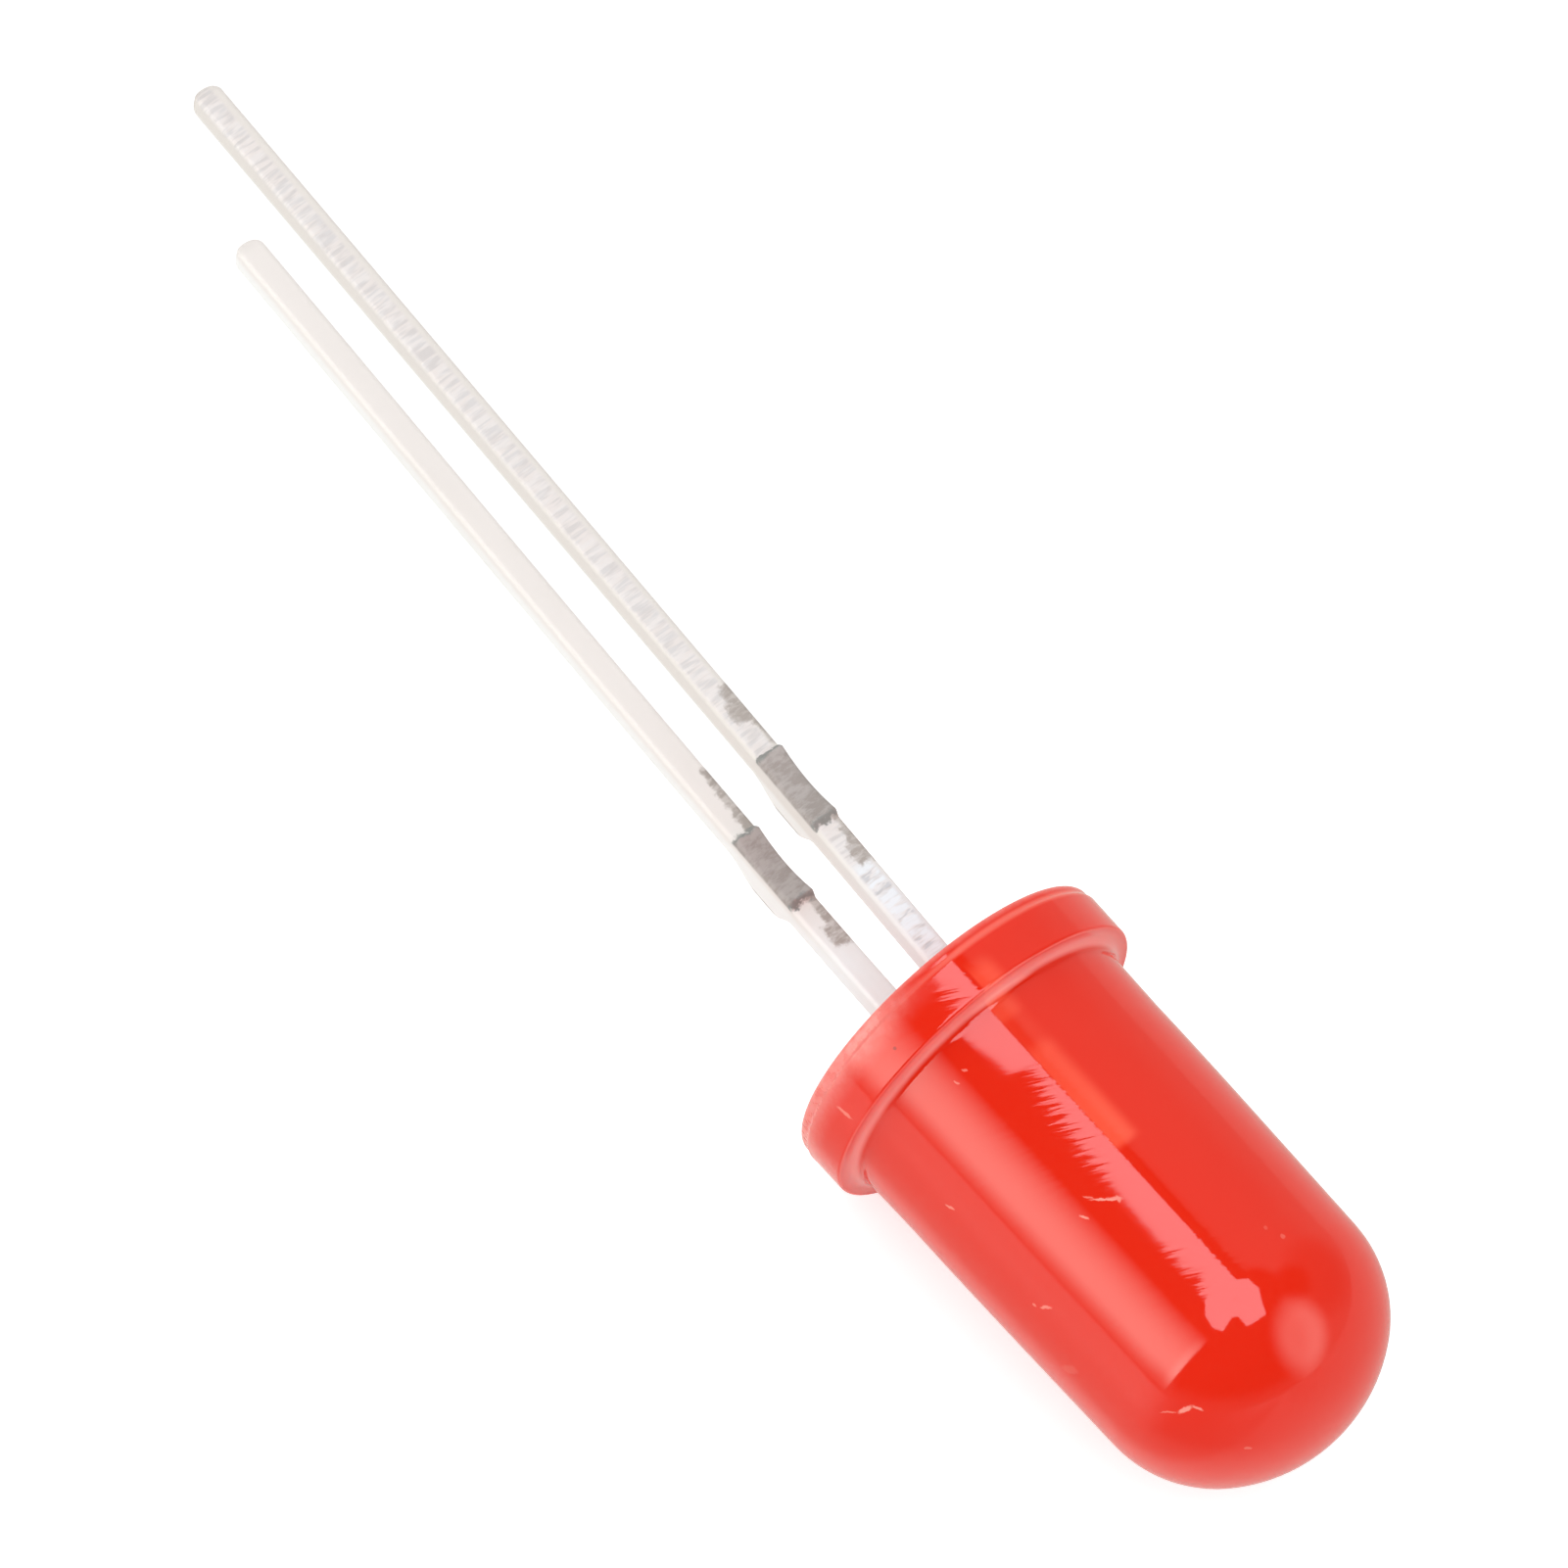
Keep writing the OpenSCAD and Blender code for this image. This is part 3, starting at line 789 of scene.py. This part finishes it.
# %% Finish of the head
def epoxy_finish():
    """Cloudy dyed epoxy: ridges, frosted rim, flecks, painted edge highlights, the post shining through."""
    finish, tree, shader = new_finish("red_epoxy")
    where, x, y, z = place(tree)
    flat = unrolled_place(tree, where, x, y, z)
    lint = lint_mask(tree, flat)
    frost = frosting(tree, where, x, y)
    colour = paint(tree, EPOXY, [
        (EPOXY_PALE, noise(tree, where, (0.5, 0.5, 0.5), 3.0), 0.06),
        (POST_GLOW, post_stripe(tree, x, y, z), 0.95),
        # Painted highlights: pale lines on the flange's front edge and on the lip.
        (FACE_EDGE_HIGHLIGHT, flange_edge_highlight(tree, x, y, z), 1.0),
        (LIP_HIGHLIGHT, lip_highlight(tree, x, y), 1.0),
        (FROST, frost, 1.0),
        (LINT, lint, 1.0),
        (SPECK, fleck(tree, flat, *DARK_SPECK), 0.7),
    ])
    feed(tree, shader, {
        "Base Color": colour,
        "Subsurface Weight": 0.35,
        "Subsurface Radius": (1.0, 0.12, 0.06),
        "Subsurface Scale": 0.6 * MM,
        "IOR": 1.52,
        "Specular IOR Level": 0.53,
        "Roughness": plus(tree, 0.055, times(tree, frost, 0.4), times(tree, lint, 0.35)),
        "Normal": mould_ridges(tree, where, x),
    })
    print(finish.name, "has", len(tree.nodes), "nodes")
    return finish


epoxy_head.data.materials.append(epoxy_finish())

# %% [markdown]
# ## Tinned steel
#
# The frame is stamped from steel sheet, then dipped in tin, which leaves it nearly white and softly shiny.
# The upper side of the long leg is covered with fine lines across it, where the die sheared the sheet, and
# near the head they sparkle with painted glints. The tie bar is cut off after the dip, so the stubs' cut
# faces are bare grey steel, and before and behind them the top faces are painted darker in patches.
#
# All of that goes by the place on the leg, so the finish first takes back the lean of the frame. The leg
# has no place of its own for each mark, as an unwrapped mesh would have, but its straight run along x makes
# that easy to do without. A darker patch is told by where it starts and ends along the leg, and by the line
# across that it doesn't pass.

# %% Colours of the legs
# Painted light and shade: the middle of a top face is lighter than its edges and sides, which stay warmer.
TIN_TOP_LIT = (0.76, 0.71, 0.69, 1.0)
TIN_WARM = (0.735, 0.695, 0.66, 1.0)
# Painted light: the short leg is lighter and rosier than the long one, though both are the same tin.
TIN_ROSE_LIGHT = (0.83, 0.79, 0.765, 1.0)
TIN_BRIGHT = (0.82, 0.86, 0.90, 1.0)
TIN_CLEAR = (0.87, 0.94, 0.95, 1.0)
TIN_LIT = (0.88, 0.885, 0.88, 1.0)
TIN_DULL = (0.64, 0.605, 0.595, 1.0)
TIN_SHADE = (0.48, 0.50, 0.54, 1.0)
BARE_STEEL = (0.44, 0.40, 0.385, 1.0)
BARE_LINES = (0.35, 0.31, 0.29, 1.0)
# Darker patches on the top faces before and behind the stubs.
DARK_PATCH = (0.40, 0.355, 0.325, 1.0)
# Painted shade on the short slopes at the ends of the stubs' cut faces.
LEDGE_SHADE = (0.24, 0.26, 0.25, 1.0)
# Painted shade on the -Y corner of the long leg's tip.
TIP_SHADE = (0.46, 0.40, 0.35, 1.0)

# %% Places on the legs
# Bands and soft steps as on the head: how far along from the head, across the leg, or above its middle.
OUTSIDE = (0.05, -0.1)
TOP_FACE = (0.12, 0.2)
TOP_MIDDLE = (0.19, 0.11)
CATHODE_LIT = (0.14, -0.04)
ANODE_LIT = (-0.06, -0.2)
# Painted light: near the head the legs are whiter and bluer, against the red light the head throws there.
NEAR_HEAD_WHITENING = (-3.4, -0.4)
CATHODE_NEAR_HEAD_WHITENING = (-3.2, -1.4)
SPARKLING = (-2.3, -2.05, -0.6, -0.3)
TIP_SHADE_ALONG = (ANODE_TIP + 0.16, ANODE_TIP + 0.02)
TIP_SHADE_ACROSS = (0.08, -0.14)
CUT_FACE = (-4.49, -4.43, -3.05, -2.99)
CUT_BULGE = (-4.1, -3.9, -3.4, -3.25)
BULGE_BELOW = (-0.36, -0.42)
LEDGES = [(-4.53, -4.48, -4.42, -4.36), (-3.15, -3.08, -3.01, -2.97)]

# Each darker patch: where it starts and ends along the leg, and the line across that it lies beyond.
ANODE_DARK_PATCHES = [
    (-5.72, -5.30, 0.06), (-5.42, -5.02, -0.05), (-5.1, -4.55, 0.15),
    (-3.05, -2.72, 0.13), (-2.85, -2.42, 0.06), (-2.55, -2.15, -0.04),
]
CATHODE_DARK_PATCHES = [
    (-5.65, -5.1, 0.02), (-5.2, -4.4, -0.04),
    (-3.05, -2.5, -0.02), (-2.55, -2.15, -0.14),
]


def frame_place(tree):
    """The point's place on the frame before it leaned: along, across, above its leg's middle, is anode."""
    where, x, y, z = place(tree)
    c, s = np.cos(LEAN), np.sin(LEAN)
    along = plus(tree, times(tree, x, c), times(tree, y, -s))
    across = plus(tree, times(tree, y, c), times(tree, x, s))
    anode = calc(tree, "GREATER_THAN", z, 0.0)
    above = calc(tree, "SUBTRACT", z, between(tree, anode, -LEAD_Z, LEAD_Z))
    return where, along, across, above, anode


# %% Marks of the cutter
PATCH_SOFT = 0.06
PATCH_EDGE = (-0.03, 0.05)
FRAY_ALONG, FRAY_ACROSS = 0.3, 0.225


def dark_patches(tree, along, across, patches):
    """1 in any of the darker patches, with soft edges."""
    mask = 0.0
    for start, end, beyond in patches:
        edges = (start - PATCH_SOFT, start + PATCH_SOFT, end - PATCH_SOFT, end + PATCH_SOFT)
        side = step(tree, across, beyond + PATCH_EDGE[0], beyond + PATCH_EDGE[1])
        mask = calc(tree, "MAXIMUM", mask, times(tree, band(tree, along, *edges), side))
    return mask


def cutter_marks(tree, where, along, across, above, anode, cathode, top):
    """Darker patches and bare cut faces, frayed by noise, and their steel with painted shade on slopes."""
    wobble = plus(tree, noise(tree, where, (7.0, 7.0, 7.0), 3.0, 0.65), -0.5)
    along = plus(tree, along, times(tree, wobble, FRAY_ALONG))
    across = plus(tree, across, times(tree, wobble, FRAY_ACROSS))
    tears = noise(tree, where, (7.0, 2.6, 2.6), 4.0, 0.7)
    darkened = plus(
        tree,
        times(tree, anode, dark_patches(tree, along, across, ANODE_DARK_PATCHES)),
        times(tree, cathode, dark_patches(tree, along, across, CATHODE_DARK_PATCHES)),
    )
    darkened = times(tree, darkened, top, between(tree, step(tree, tears, 0.60, 0.42), 0.55, 0.97))
    bulge = times(tree, step(tree, above, *BULGE_BELOW), band(tree, along, *CUT_BULGE))
    bare = calc(tree, "MAXIMUM", times(tree, top, band(tree, along, *CUT_FACE)), bulge)
    # painted shade on the short slopes at the ends of the cut faces
    shaded_ledges = plus(tree, *(band(tree, along, *ledge) for ledge in LEDGES))
    steel = paint(tree, BARE_STEEL, [
        (BARE_LINES, step(tree, tears, 0.60, 0.40), 1.0),
        (LEDGE_SHADE, shaded_ledges, 0.7),
    ])
    return darkened, bare, steel


# %% Finish of the legs
def tin_finish():
    """Tin with cross lines, painted light and shade, bare steel where the tie bar was cut, dark patches."""
    finish, tree, shader = new_finish("tinned_steel")
    where, along, across, above, anode = frame_place(tree)
    cathode = between(tree, anode, 1.0, 0.0)
    outside = step(tree, along, *OUTSIDE)
    top = step(tree, above, *TOP_FACE)
    middle = times(tree, top, step(tree, calc(tree, "ABSOLUTE", across), *TOP_MIDDLE))
    cathode_lit = times(tree, cathode, step(tree, above, *CATHODE_LIT), 0.8)
    anode_lit = times(tree, anode, step(tree, above, *ANODE_LIT), 0.6)
    patches = noise(tree, where, (0.5, 1.4, 1.4), 3.0, 0.6)

    lines = noise(tree, where, (18.0, 2.4, 2.4), 1.0, 0.5)
    ruled = times(tree, middle, anode, outside)
    sparkle = times(tree, ruled, band(tree, along, *SPARKLING))
    # Painted glints: bright specks on the lines, strongest near the head, with dark specks among them.
    glints = noise(tree, where, (8.0, 2.2, 2.2), 2.0, 0.6)
    shine = plus(tree, times(tree, ruled, 0.12), times(tree, sparkle, 0.75))
    # painted shade on the -Y corner of the long leg's tip
    tip_shade = times(tree, step(tree, along, *TIP_SHADE_ALONG), step(tree, across, *TIP_SHADE_ACROSS))
    darkened, bare, steel = cutter_marks(tree, where, along, across, above, anode, cathode, top)

    colour = paint(tree, TIN_WARM, [
        # painted light and shade: the middle of each top face lighter than its edges and sides
        (TIN_TOP_LIT, middle, 1.0),
        # painted light: the short leg lighter and rosier than the long one
        (TIN_ROSE_LIGHT, cathode, 0.9),
        (TIN_LIT, plus(tree, cathode_lit, anode_lit), 1.0),
        # painted light: whiter, bluer tin near the head, against the head's red light on the legs
        (TIN_BRIGHT, times(tree, outside, step(tree, along, *NEAR_HEAD_WHITENING)), 0.6),
        (TIN_CLEAR, times(tree, cathode, step(tree, along, *CATHODE_NEAR_HEAD_WHITENING)), 0.75),
        (TIN_WARM, step(tree, patches, 0.4, 0.8), 0.3),
        (TIN_DULL, times(tree, ruled, step(tree, lines, 0.62, 0.34)), 1.0),
        # painted highlights: glints on the die lines, strongest where they sparkle near the head
        (TIN_BRIGHT, times(tree, shine, step(tree, glints, 0.40, 0.58)), 1.0),
        (TIN_SHADE, times(tree, sparkle, step(tree, glints, 0.43, 0.35)), 0.6),
        # painted shade at the long leg's tip
        (TIP_SHADE, tip_shade, 0.6),
        # darker patches on the top faces before and behind the stubs
        (DARK_PATCH, darkened, 1.0),
        (steel, bare, 1.0),
    ])
    relief = times(tree, lines, between(tree, ruled, 0.25, 1.0))
    bump = add(tree, "Bump", {"Strength": 0.8, "Distance": 0.006 * MM, "Height": relief})
    feed(tree, shader, {
        "Base Color": colour,
        "Metallic": 0.18,
        "Specular IOR Level": 0.3,
        "Roughness": plus(tree, 0.66, times(tree, lines, 0.12), times(tree, sparkle, -0.12)),
        "Normal": bump.outputs[0],
    })
    print(finish.name, "has", len(tree.nodes), "nodes")
    return finish


tin = tin_finish()
for leg in (anode_leg, cathode_leg):
    leg.data.materials.append(tin)

# %% [markdown]
# ## Die, silver epoxy and gold wire
#
# These stay the CAD nodes that they are, because their shapes are already right at their size. Each gets
# its own finish: the chip is dull grey-brown crystal, the paste that holds it is full of silver flakes, and
# the wire is gold.


# %% Finishes of the small pieces
def grainy_finish(name, dark, light, metallic, roughness, grains):
    """Flickers between two colours, with grains blotches to the millimetre, and bumps to match."""
    finish, tree, shader = new_finish(name)
    where = place(tree)[0]
    grain = noise(tree, where, (grains, grains, grains), 3.0, 0.6)
    bump = add(tree, "Bump", {"Strength": 0.4, "Distance": 0.003 * MM, "Height": grain})
    feed(tree, shader, {
        "Base Color": blend(tree, step(tree, grain, 0.35, 0.65), dark, light),
        "Metallic": metallic,
        "Roughness": roughness,
        "Normal": bump.outputs[0],
    })
    return finish


small_finishes = {
    "led_die": grainy_finish("die_crystal", (0.16, 0.12, 0.09, 1), (0.26, 0.2, 0.15, 1), 0.0, 0.35, 18.0),
    "die_attach": grainy_finish(
        "silver_paste", (0.34, 0.34, 0.36, 1), (0.62, 0.62, 0.64, 1), 0.7, 0.5, 40.0),
    "bond_wire": grainy_finish("gold", (0.78, 0.52, 0.16, 1), (0.9, 0.66, 0.26, 1), 1.0, 0.22, 30.0),
}
for node_name, finish in small_finishes.items():
    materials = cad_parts[node_name].data.materials
    materials.clear()
    materials.append(finish)
    print(node_name, "wears", finish.name)

# %% [markdown]
# ## Joining the pieces to the frame
#
# Each new piece rides on the part's one body, and the CAD node that it stands for is hidden.

# %% Riding, and hiding the CAD nodes
for piece, node_name, slot in (
    (epoxy_head, "lens_body", "red_epoxy"),
    (anode_leg, "anode_lead", "tinned_steel"),
    (cathode_leg, "cathode_lead", "tinned_steel"),
):
    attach(piece, "root")
    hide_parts(node_name)

# %% [markdown]
# ## The table, the lamps and the room
#
# A glossy head shows its whole surroundings, so those are built rather than left to chance: a round softbox
# overhead, a tall window to the right that reaches down to the table, a smaller softbox beyond the dome,
# and darkness between them. Each lamp is a sheet on a large dome round the LED. Its outline is given in
# degrees from straight up, towards +X and towards +Y, and how bright it is varies over the sheet. The lamps
# light the scene and show in reflections, but the camera doesn't see them.
#
# The table is a matt white sheet. Reflections see it in five tones of painted light and shade: a bright
# side under the window, the other side, a darker stretch close by the head, the darker far end of the
# bright side, and a dark corner before the dome. The camera sees only white and the shadow round the head.

# %% Painted tones of light and shade on the table
WHITE = (1.0, 1.0, 1.0, 1.0)
TABLE_WHITE = (0.88, 0.88, 0.88, 1.0)
TABLE_AWAY = (0.66, 0.65, 0.60, 1.0)
# These four are painted light and shade, which only reflections see.
TABLE_WINDOW_LIGHT = (0.84, 0.83, 0.77, 1.0)
TABLE_CLOSE_SHADE = (0.64, 0.63, 0.58, 1.0)
TABLE_FAR_SHADE = (0.44, 0.43, 0.40, 1.0)
TABLE_CORNER_SHADE = (0.30, 0.30, 0.28, 1.0)

# %% Places on the table
# Soft steps and a band along y, distances from a point, and two steps in the angle round CORNER_AT.
FLOOR_HALF = 1000.0
WINDOW_SIDE = (6.0, -6.0)
CLOSE_BY = (-12.0, -5.0, -4.2, -3.0)
FAR_OFF = (50.0, 180.0)
CORNER_AT = (7.0, -1.5, 0.0)
CORNER_CLEAR = (2.5, 7.0)
CORNER_STARTS = (np.radians(-98), np.radians(-66))
CORNER_ENDS = (np.radians(35), np.radians(-50))
SHADOW_AT = (4.4, -1.0, 0.0)
SHADOW_REACH = (9.0, 10.0)


def distance(tree, where, point):
    """How far a place is from a point."""
    return add(tree, "VectorMath", {0: where, 1: point}, operation="DISTANCE").outputs["Value"]


def direct_rays(tree):
    """1 for what the camera sees, straight or through a clear thing, and the light path's outputs."""
    rays = add(tree, "LightPath").outputs
    return calc(tree, "MAXIMUM", rays["Is Camera Ray"], rays["Is Transmission Ray"]), rays


def dark_corner(tree, where, x, y):
    """Painted shade: a wedge round CORNER_AT from -Y, where it starts, to +X, where it fades more slowly.
    """
    turn = calc(tree, "ARCTAN2", plus(tree, y, -CORNER_AT[1]), plus(tree, x, -CORNER_AT[0]))
    wedge = times(tree, step(tree, turn, *CORNER_STARTS), step(tree, turn, *CORNER_ENDS))
    return times(tree, wedge, step(tree, distance(tree, where, CORNER_AT), *CORNER_CLEAR))


# %% Finish of the table
def table_finish():
    """A matt white table: painted light and shade in reflections, some light of its own on the window's
    side.

    The camera sees the shadow round the head, and away from it plain white light, which is quick to render.
    """
    finish, tree, out = bare_finish("white_table")
    where, x, y = place(tree)[:3]
    window_side = step(tree, y, *WINDOW_SIDE)
    close = band(tree, y, *CLOSE_BY)
    far = times(tree, window_side, step(tree, distance(tree, where, CORNER_AT), *FAR_OFF))
    corner = dark_corner(tree, where, x, y)
    seen, rays = direct_rays(tree)
    mirrored = rays["Is Glossy Ray"]
    tones = paint(tree, TABLE_AWAY, [
        # painted light and shade, seen only in reflections
        (TABLE_WINDOW_LIGHT, window_side, 1.0),
        (TABLE_CLOSE_SHADE, close, 1.0),
        (TABLE_FAR_SHADE, far, 1.0),
        (TABLE_CORNER_SHADE, corner, 1.0),
    ])
    lit = calc(tree, "MAXIMUM", calc(tree, "SUBTRACT", window_side, plus(tree, corner, far)), 0.0)
    spill = times(tree, lit, between(tree, close, 1.0, 0.4), mirrored, 0.25)
    matt = add(tree, "BsdfPrincipled", {
        "Base Color": blend(tree, mirrored, TABLE_WHITE, tones),
        "Roughness": 0.9,
        "Specular IOR Level": 0.1,
        "Emission Color": WHITE,
        "Emission Strength": plus(tree, times(tree, seen, 0.52), spill),
    })
    plain = times(tree, seen, step(tree, distance(tree, where, SHADOW_AT), *SHADOW_REACH))
    white = add(tree, "Emission", {"Color": WHITE, "Strength": 1.1})
    mixed = add(tree, "MixShader", {0: plain, 1: matt.outputs[0], 2: white.outputs[0]})
    tree.links.new(mixed.outputs[0], out.inputs["Surface"])
    return finish


corners = np.array([(-1, -1, 0), (1, -1, 0), (1, 1, 0), (-1, 1, 0)], dtype=float) * FLOOR_HALF
corners[:, 2] = FLOOR_Z
table_mesh = bpy.data.meshes.new("table")
table_mesh.from_pydata(corners * MM, [], [(0, 1, 2, 3)])
table_mesh.materials.append(table_finish())
table = bpy.data.objects.new("table", table_mesh)
bpy.context.collection.objects.link(table)
print("table at z", round(FLOOR_Z, 3), "mm")

# %% Sheets of light
LAMP_DISTANCE = 900.0
FAN_COLUMNS = 241


def sky_point(right, away):
    """The point LAMP_DISTANCE away, right degrees towards +X and away degrees towards +Y of the zenith.

    The tilt from the zenith is the length of (right, away), and its compass direction is theirs.
    """
    tilt = np.radians(np.hypot(right, away))
    turn = np.arctan2(away, right)
    return LAMP_DISTANCE * np.stack(
        [np.sin(tilt) * np.cos(turn), np.sin(tilt) * np.sin(turn), np.cos(tilt)], axis=-1
    )


def lamp_finish(name, tint, clear):
    """Light as bright as the mesh's own glow attribute says. A clear sheet adds it to what is behind."""
    finish, tree, out = bare_finish(name)
    glow = add(tree, "Attribute", attribute_name="glow").outputs["Fac"]
    light = add(tree, "Emission", {"Color": tint, "Strength": glow})
    if clear:
        light = add(tree, "AddShader", {0: light.outputs[0], 1: add(tree, "BsdfTransparent").outputs[0]})
    tree.links.new(light.outputs[0], out.inputs["Surface"])
    return finish


def make_lamp(name, right, away, glow, tint, card=True, clear=False):
    """A sheet of light from grids of its place in the sky and of its brightness.

    A card shows in reflections and lights nothing else. What isn't a card is the other way round.
    """
    points = sky_point(right, away)
    rows, cols = right.shape
    at = np.arange(rows * cols).reshape(rows, cols)
    quads = np.stack([at[:-1, :-1], at[1:, :-1], at[1:, 1:], at[:-1, 1:]], axis=-1).reshape(-1, 4)
    mesh = bpy.data.meshes.new(name)
    mesh.from_pydata(points.reshape(-1, 3) * MM, [], quads.tolist())
    mesh.attributes.new("glow", "FLOAT", "POINT").data.foreach_set("value", glow.ravel())
    mesh.materials.append(lamp_finish(name + "_light", tint, clear))
    lamp = bpy.data.objects.new(name, mesh)
    lamp.visible_camera = False
    lamp.visible_shadow = False
    lamp.visible_diffuse = not card
    lamp.visible_glossy = card
    bpy.context.collection.objects.link(lamp)
    print(name, "mean brightness", round(float(glow.mean()), 2))


def grid(first, second, rows, cols):
    """Two grids: first runs down the rows and second along the columns."""
    return np.meshgrid(np.linspace(*first, rows), np.linspace(*second, cols), indexing="ij")


def oval(right, away, half_right, half_away):
    """A rim of 60 corners: centre + (half_right cos t, half_away sin t)."""
    turn = np.radians(np.arange(0, 360, 6))
    return [(right + half_right * np.cos(t), away + half_away * np.sin(t)) for t in turn]


def fan(centre, rim, rows):
    """Grids of places from near the centre out to the rim, a closed line of (right, away) corners."""
    rim = np.array(rim + rim[:1], dtype=float)
    run = np.concatenate([[0], np.cumsum(np.hypot(*np.diff(rim, axis=0).T))])
    share, way = grid((0.02, 1.0), (0.0, run[-1]), rows, FAN_COLUMNS)
    right = centre[0] + share * (np.interp(way, run, rim[:, 0]) - centre[0])
    away = centre[1] + share * (np.interp(way, run, rim[:, 1]) - centre[1])
    return right, away, share


# %% Lamp overhead
COOL = (1.0, 1.0, 1.06, 1.0)
CEILING = 3.72
CEILING_FADE = 0.03
CEILING_RIM = [
    (27, -6), (27, 6), (18, 8), (6, 12.5), (-5, 11), (-10, 4.5), (-18.1, 4.5), (-13.8, -22),
    (-10, -25), (-5, -29), (8, -31), (16, -27), (12, -16), (14, -12), (25.5, -11),
]


def ceiling_lamp():
    """A roundish softbox overhead, cut off on a slant towards the legs, with a notch towards the dome.

    It is even up to its last few hundredths, where it fades out.
    """
    right, away, share = fan((1.0, -6.0), CEILING_RIM, 34)
    glow = CEILING * np.clip((1 - share) / CEILING_FADE, 0, 1)
    make_lamp("ceiling_softbox", right, away, glow, COOL)


ceiling_lamp()

# %% Window
WARM = (1.0, 1.0, 0.91, 1.0)
WINDOW = 3.7
WINDOW_TOP, WINDOW_FOOT = 38.0, 88.0
WINDOW_LEFT, WINDOW_RIGHT = -62.0, 14.0
WINDOW_RISE, WINDOW_RISE_POWER = 30.0, 1.05
WINDOW_FALL_FROM, WINDOW_FALL = 71.0, 0.8
WINDOW_BRIGHT_FROM, WINDOW_BRIGHT_BAND, WINDOW_BRIGHT = 1.0, 10.0, 0.35
WINDOW_SOFT = 2.4


def window_lamp():
    """A tall window: brightness rises from its top edge as a half wave, and drops again near the table.

    It is brighter near its right edge, which is soft. The drop is in degrees from straight up.
    """
    drop, right = grid((WINDOW_TOP, WINDOW_FOOT), (WINDOW_LEFT, WINDOW_RIGHT), 40, 96)
    rise = np.sin(np.pi / 2 * np.clip((drop - WINDOW_TOP) / WINDOW_RISE, 0, 1)) ** WINDOW_RISE_POWER
    fall = 1 - WINDOW_FALL * smooth((drop - WINDOW_FALL_FROM) / (WINDOW_FOOT - WINDOW_FALL_FROM))
    bright = 1 + WINDOW_BRIGHT * smooth((right - WINDOW_BRIGHT_FROM) / WINDOW_BRIGHT_BAND)
    edge = smooth((WINDOW_RIGHT - right) / WINDOW_SOFT)
    make_lamp("window", right, -drop, WINDOW * rise * fall * bright * edge, WARM)


window_lamp()

# %% Fill and soft light
FILL = 2.0
FILL_AT = (57.0, 24.0)
FILL_HALF = (38.0, 29.0)
FILL_SOFT = 0.6
AMBIENT = 1.11
AMBIENT_TILT = 88.0


def fill_lamp():
    """A round softbox beyond the dome, with soft edges."""
    right, away, share = fan(FILL_AT, oval(*FILL_AT, *FILL_HALF), 20)
    make_lamp("fill_softbox", right, away, FILL * smooth((1 - share) / FILL_SOFT), WARM, clear=True)


def soft_light():
    """The even light that the white room throws back from all round, stronger from above and from -Y."""
    right, away, share = fan((0.0, 0.0), oval(0.0, 0.0, AMBIENT_TILT, AMBIENT_TILT), 24)
    glow = AMBIENT * (1.06 - 0.12 * share) * (1 - 0.16 * away / AMBIENT_TILT)
    make_lamp("soft_light", right, away, glow, WHITE, card=False)


fill_lamp()
soft_light()

# %% [markdown]
# The room itself is the world's background. It is white to the camera. For everything else it is a grey
# room with dark patches, so that the lamps stand out against it in the head. A patch is told by a direction
# in the lamps' degrees, the angle up to which it is dark, and the angle from which it has ended.

# %% World
ROOM = 0.54
ROUND_CEILING_LAMP = [(-5.0, -16.0, 28.0, 31.0), (8.0, 6.0, 18.0, 26.0)]
BEFORE_CEILING_LAMP = (46.0, -30.0, 42.0, 58.0)
BEHIND_CEILING_LAMP = (16.0, 36.0, 5.0, 18.0)
DIM_BEHIND = (18.0, 60.0, 10.0, 34.0)
HORIZON = (0.25, 0.0)


def away_from(tree, towards, right, away, inner, outer):
    """0 within inner degrees of a direction, 1 beyond outer."""
    aim = tuple(sky_point(np.array(right), np.array(away)) / LAMP_DISTANCE)
    dot = add(tree, "VectorMath", {0: towards, 1: aim}, operation="DOT_PRODUCT").outputs["Value"]
    return step(tree, dot, np.cos(np.radians(inner)), np.cos(np.radians(outer)))


def make_world():
    """White to the camera. Elsewhere grey walls, dark in the patches, and lighter near the horizon."""
    world = bpy.data.worlds.new("room")
    bpy.context.scene.world = world
    world.use_nodes = True
    tree = world.node_tree
    tree.nodes.clear()
    towards = add(tree, "TexCoord").outputs["Generated"]
    height = add(tree, "SeparateXYZ", {"Vector": towards}).outputs["Z"]
    walls = times(
        tree,
        away_from(tree, towards, *BEFORE_CEILING_LAMP),
        away_from(tree, towards, *BEHIND_CEILING_LAMP),
        between(tree, away_from(tree, towards, *DIM_BEHIND), 0.45, 1.0),
    )
    walls = calc(tree, "MAXIMUM", walls, times(tree, step(tree, height, *HORIZON), 0.6))
    room = times(tree, walls, ROOM, *(away_from(tree, towards, *patch) for patch in ROUND_CEILING_LAMP))
    seen = direct_rays(tree)[0]
    background = add(tree, "Background", {
        "Color": blend(tree, seen, WARM, WHITE),
        "Strength": calc(tree, "MAXIMUM", seen, room),
    })
    out = tree.nodes.new("ShaderNodeOutputWorld")
    tree.links.new(background.outputs[0], out.inputs["Surface"])
    print("world has", len(tree.nodes), "nodes")


make_world()
bpy.context.scene.view_settings.view_transform = "Standard"
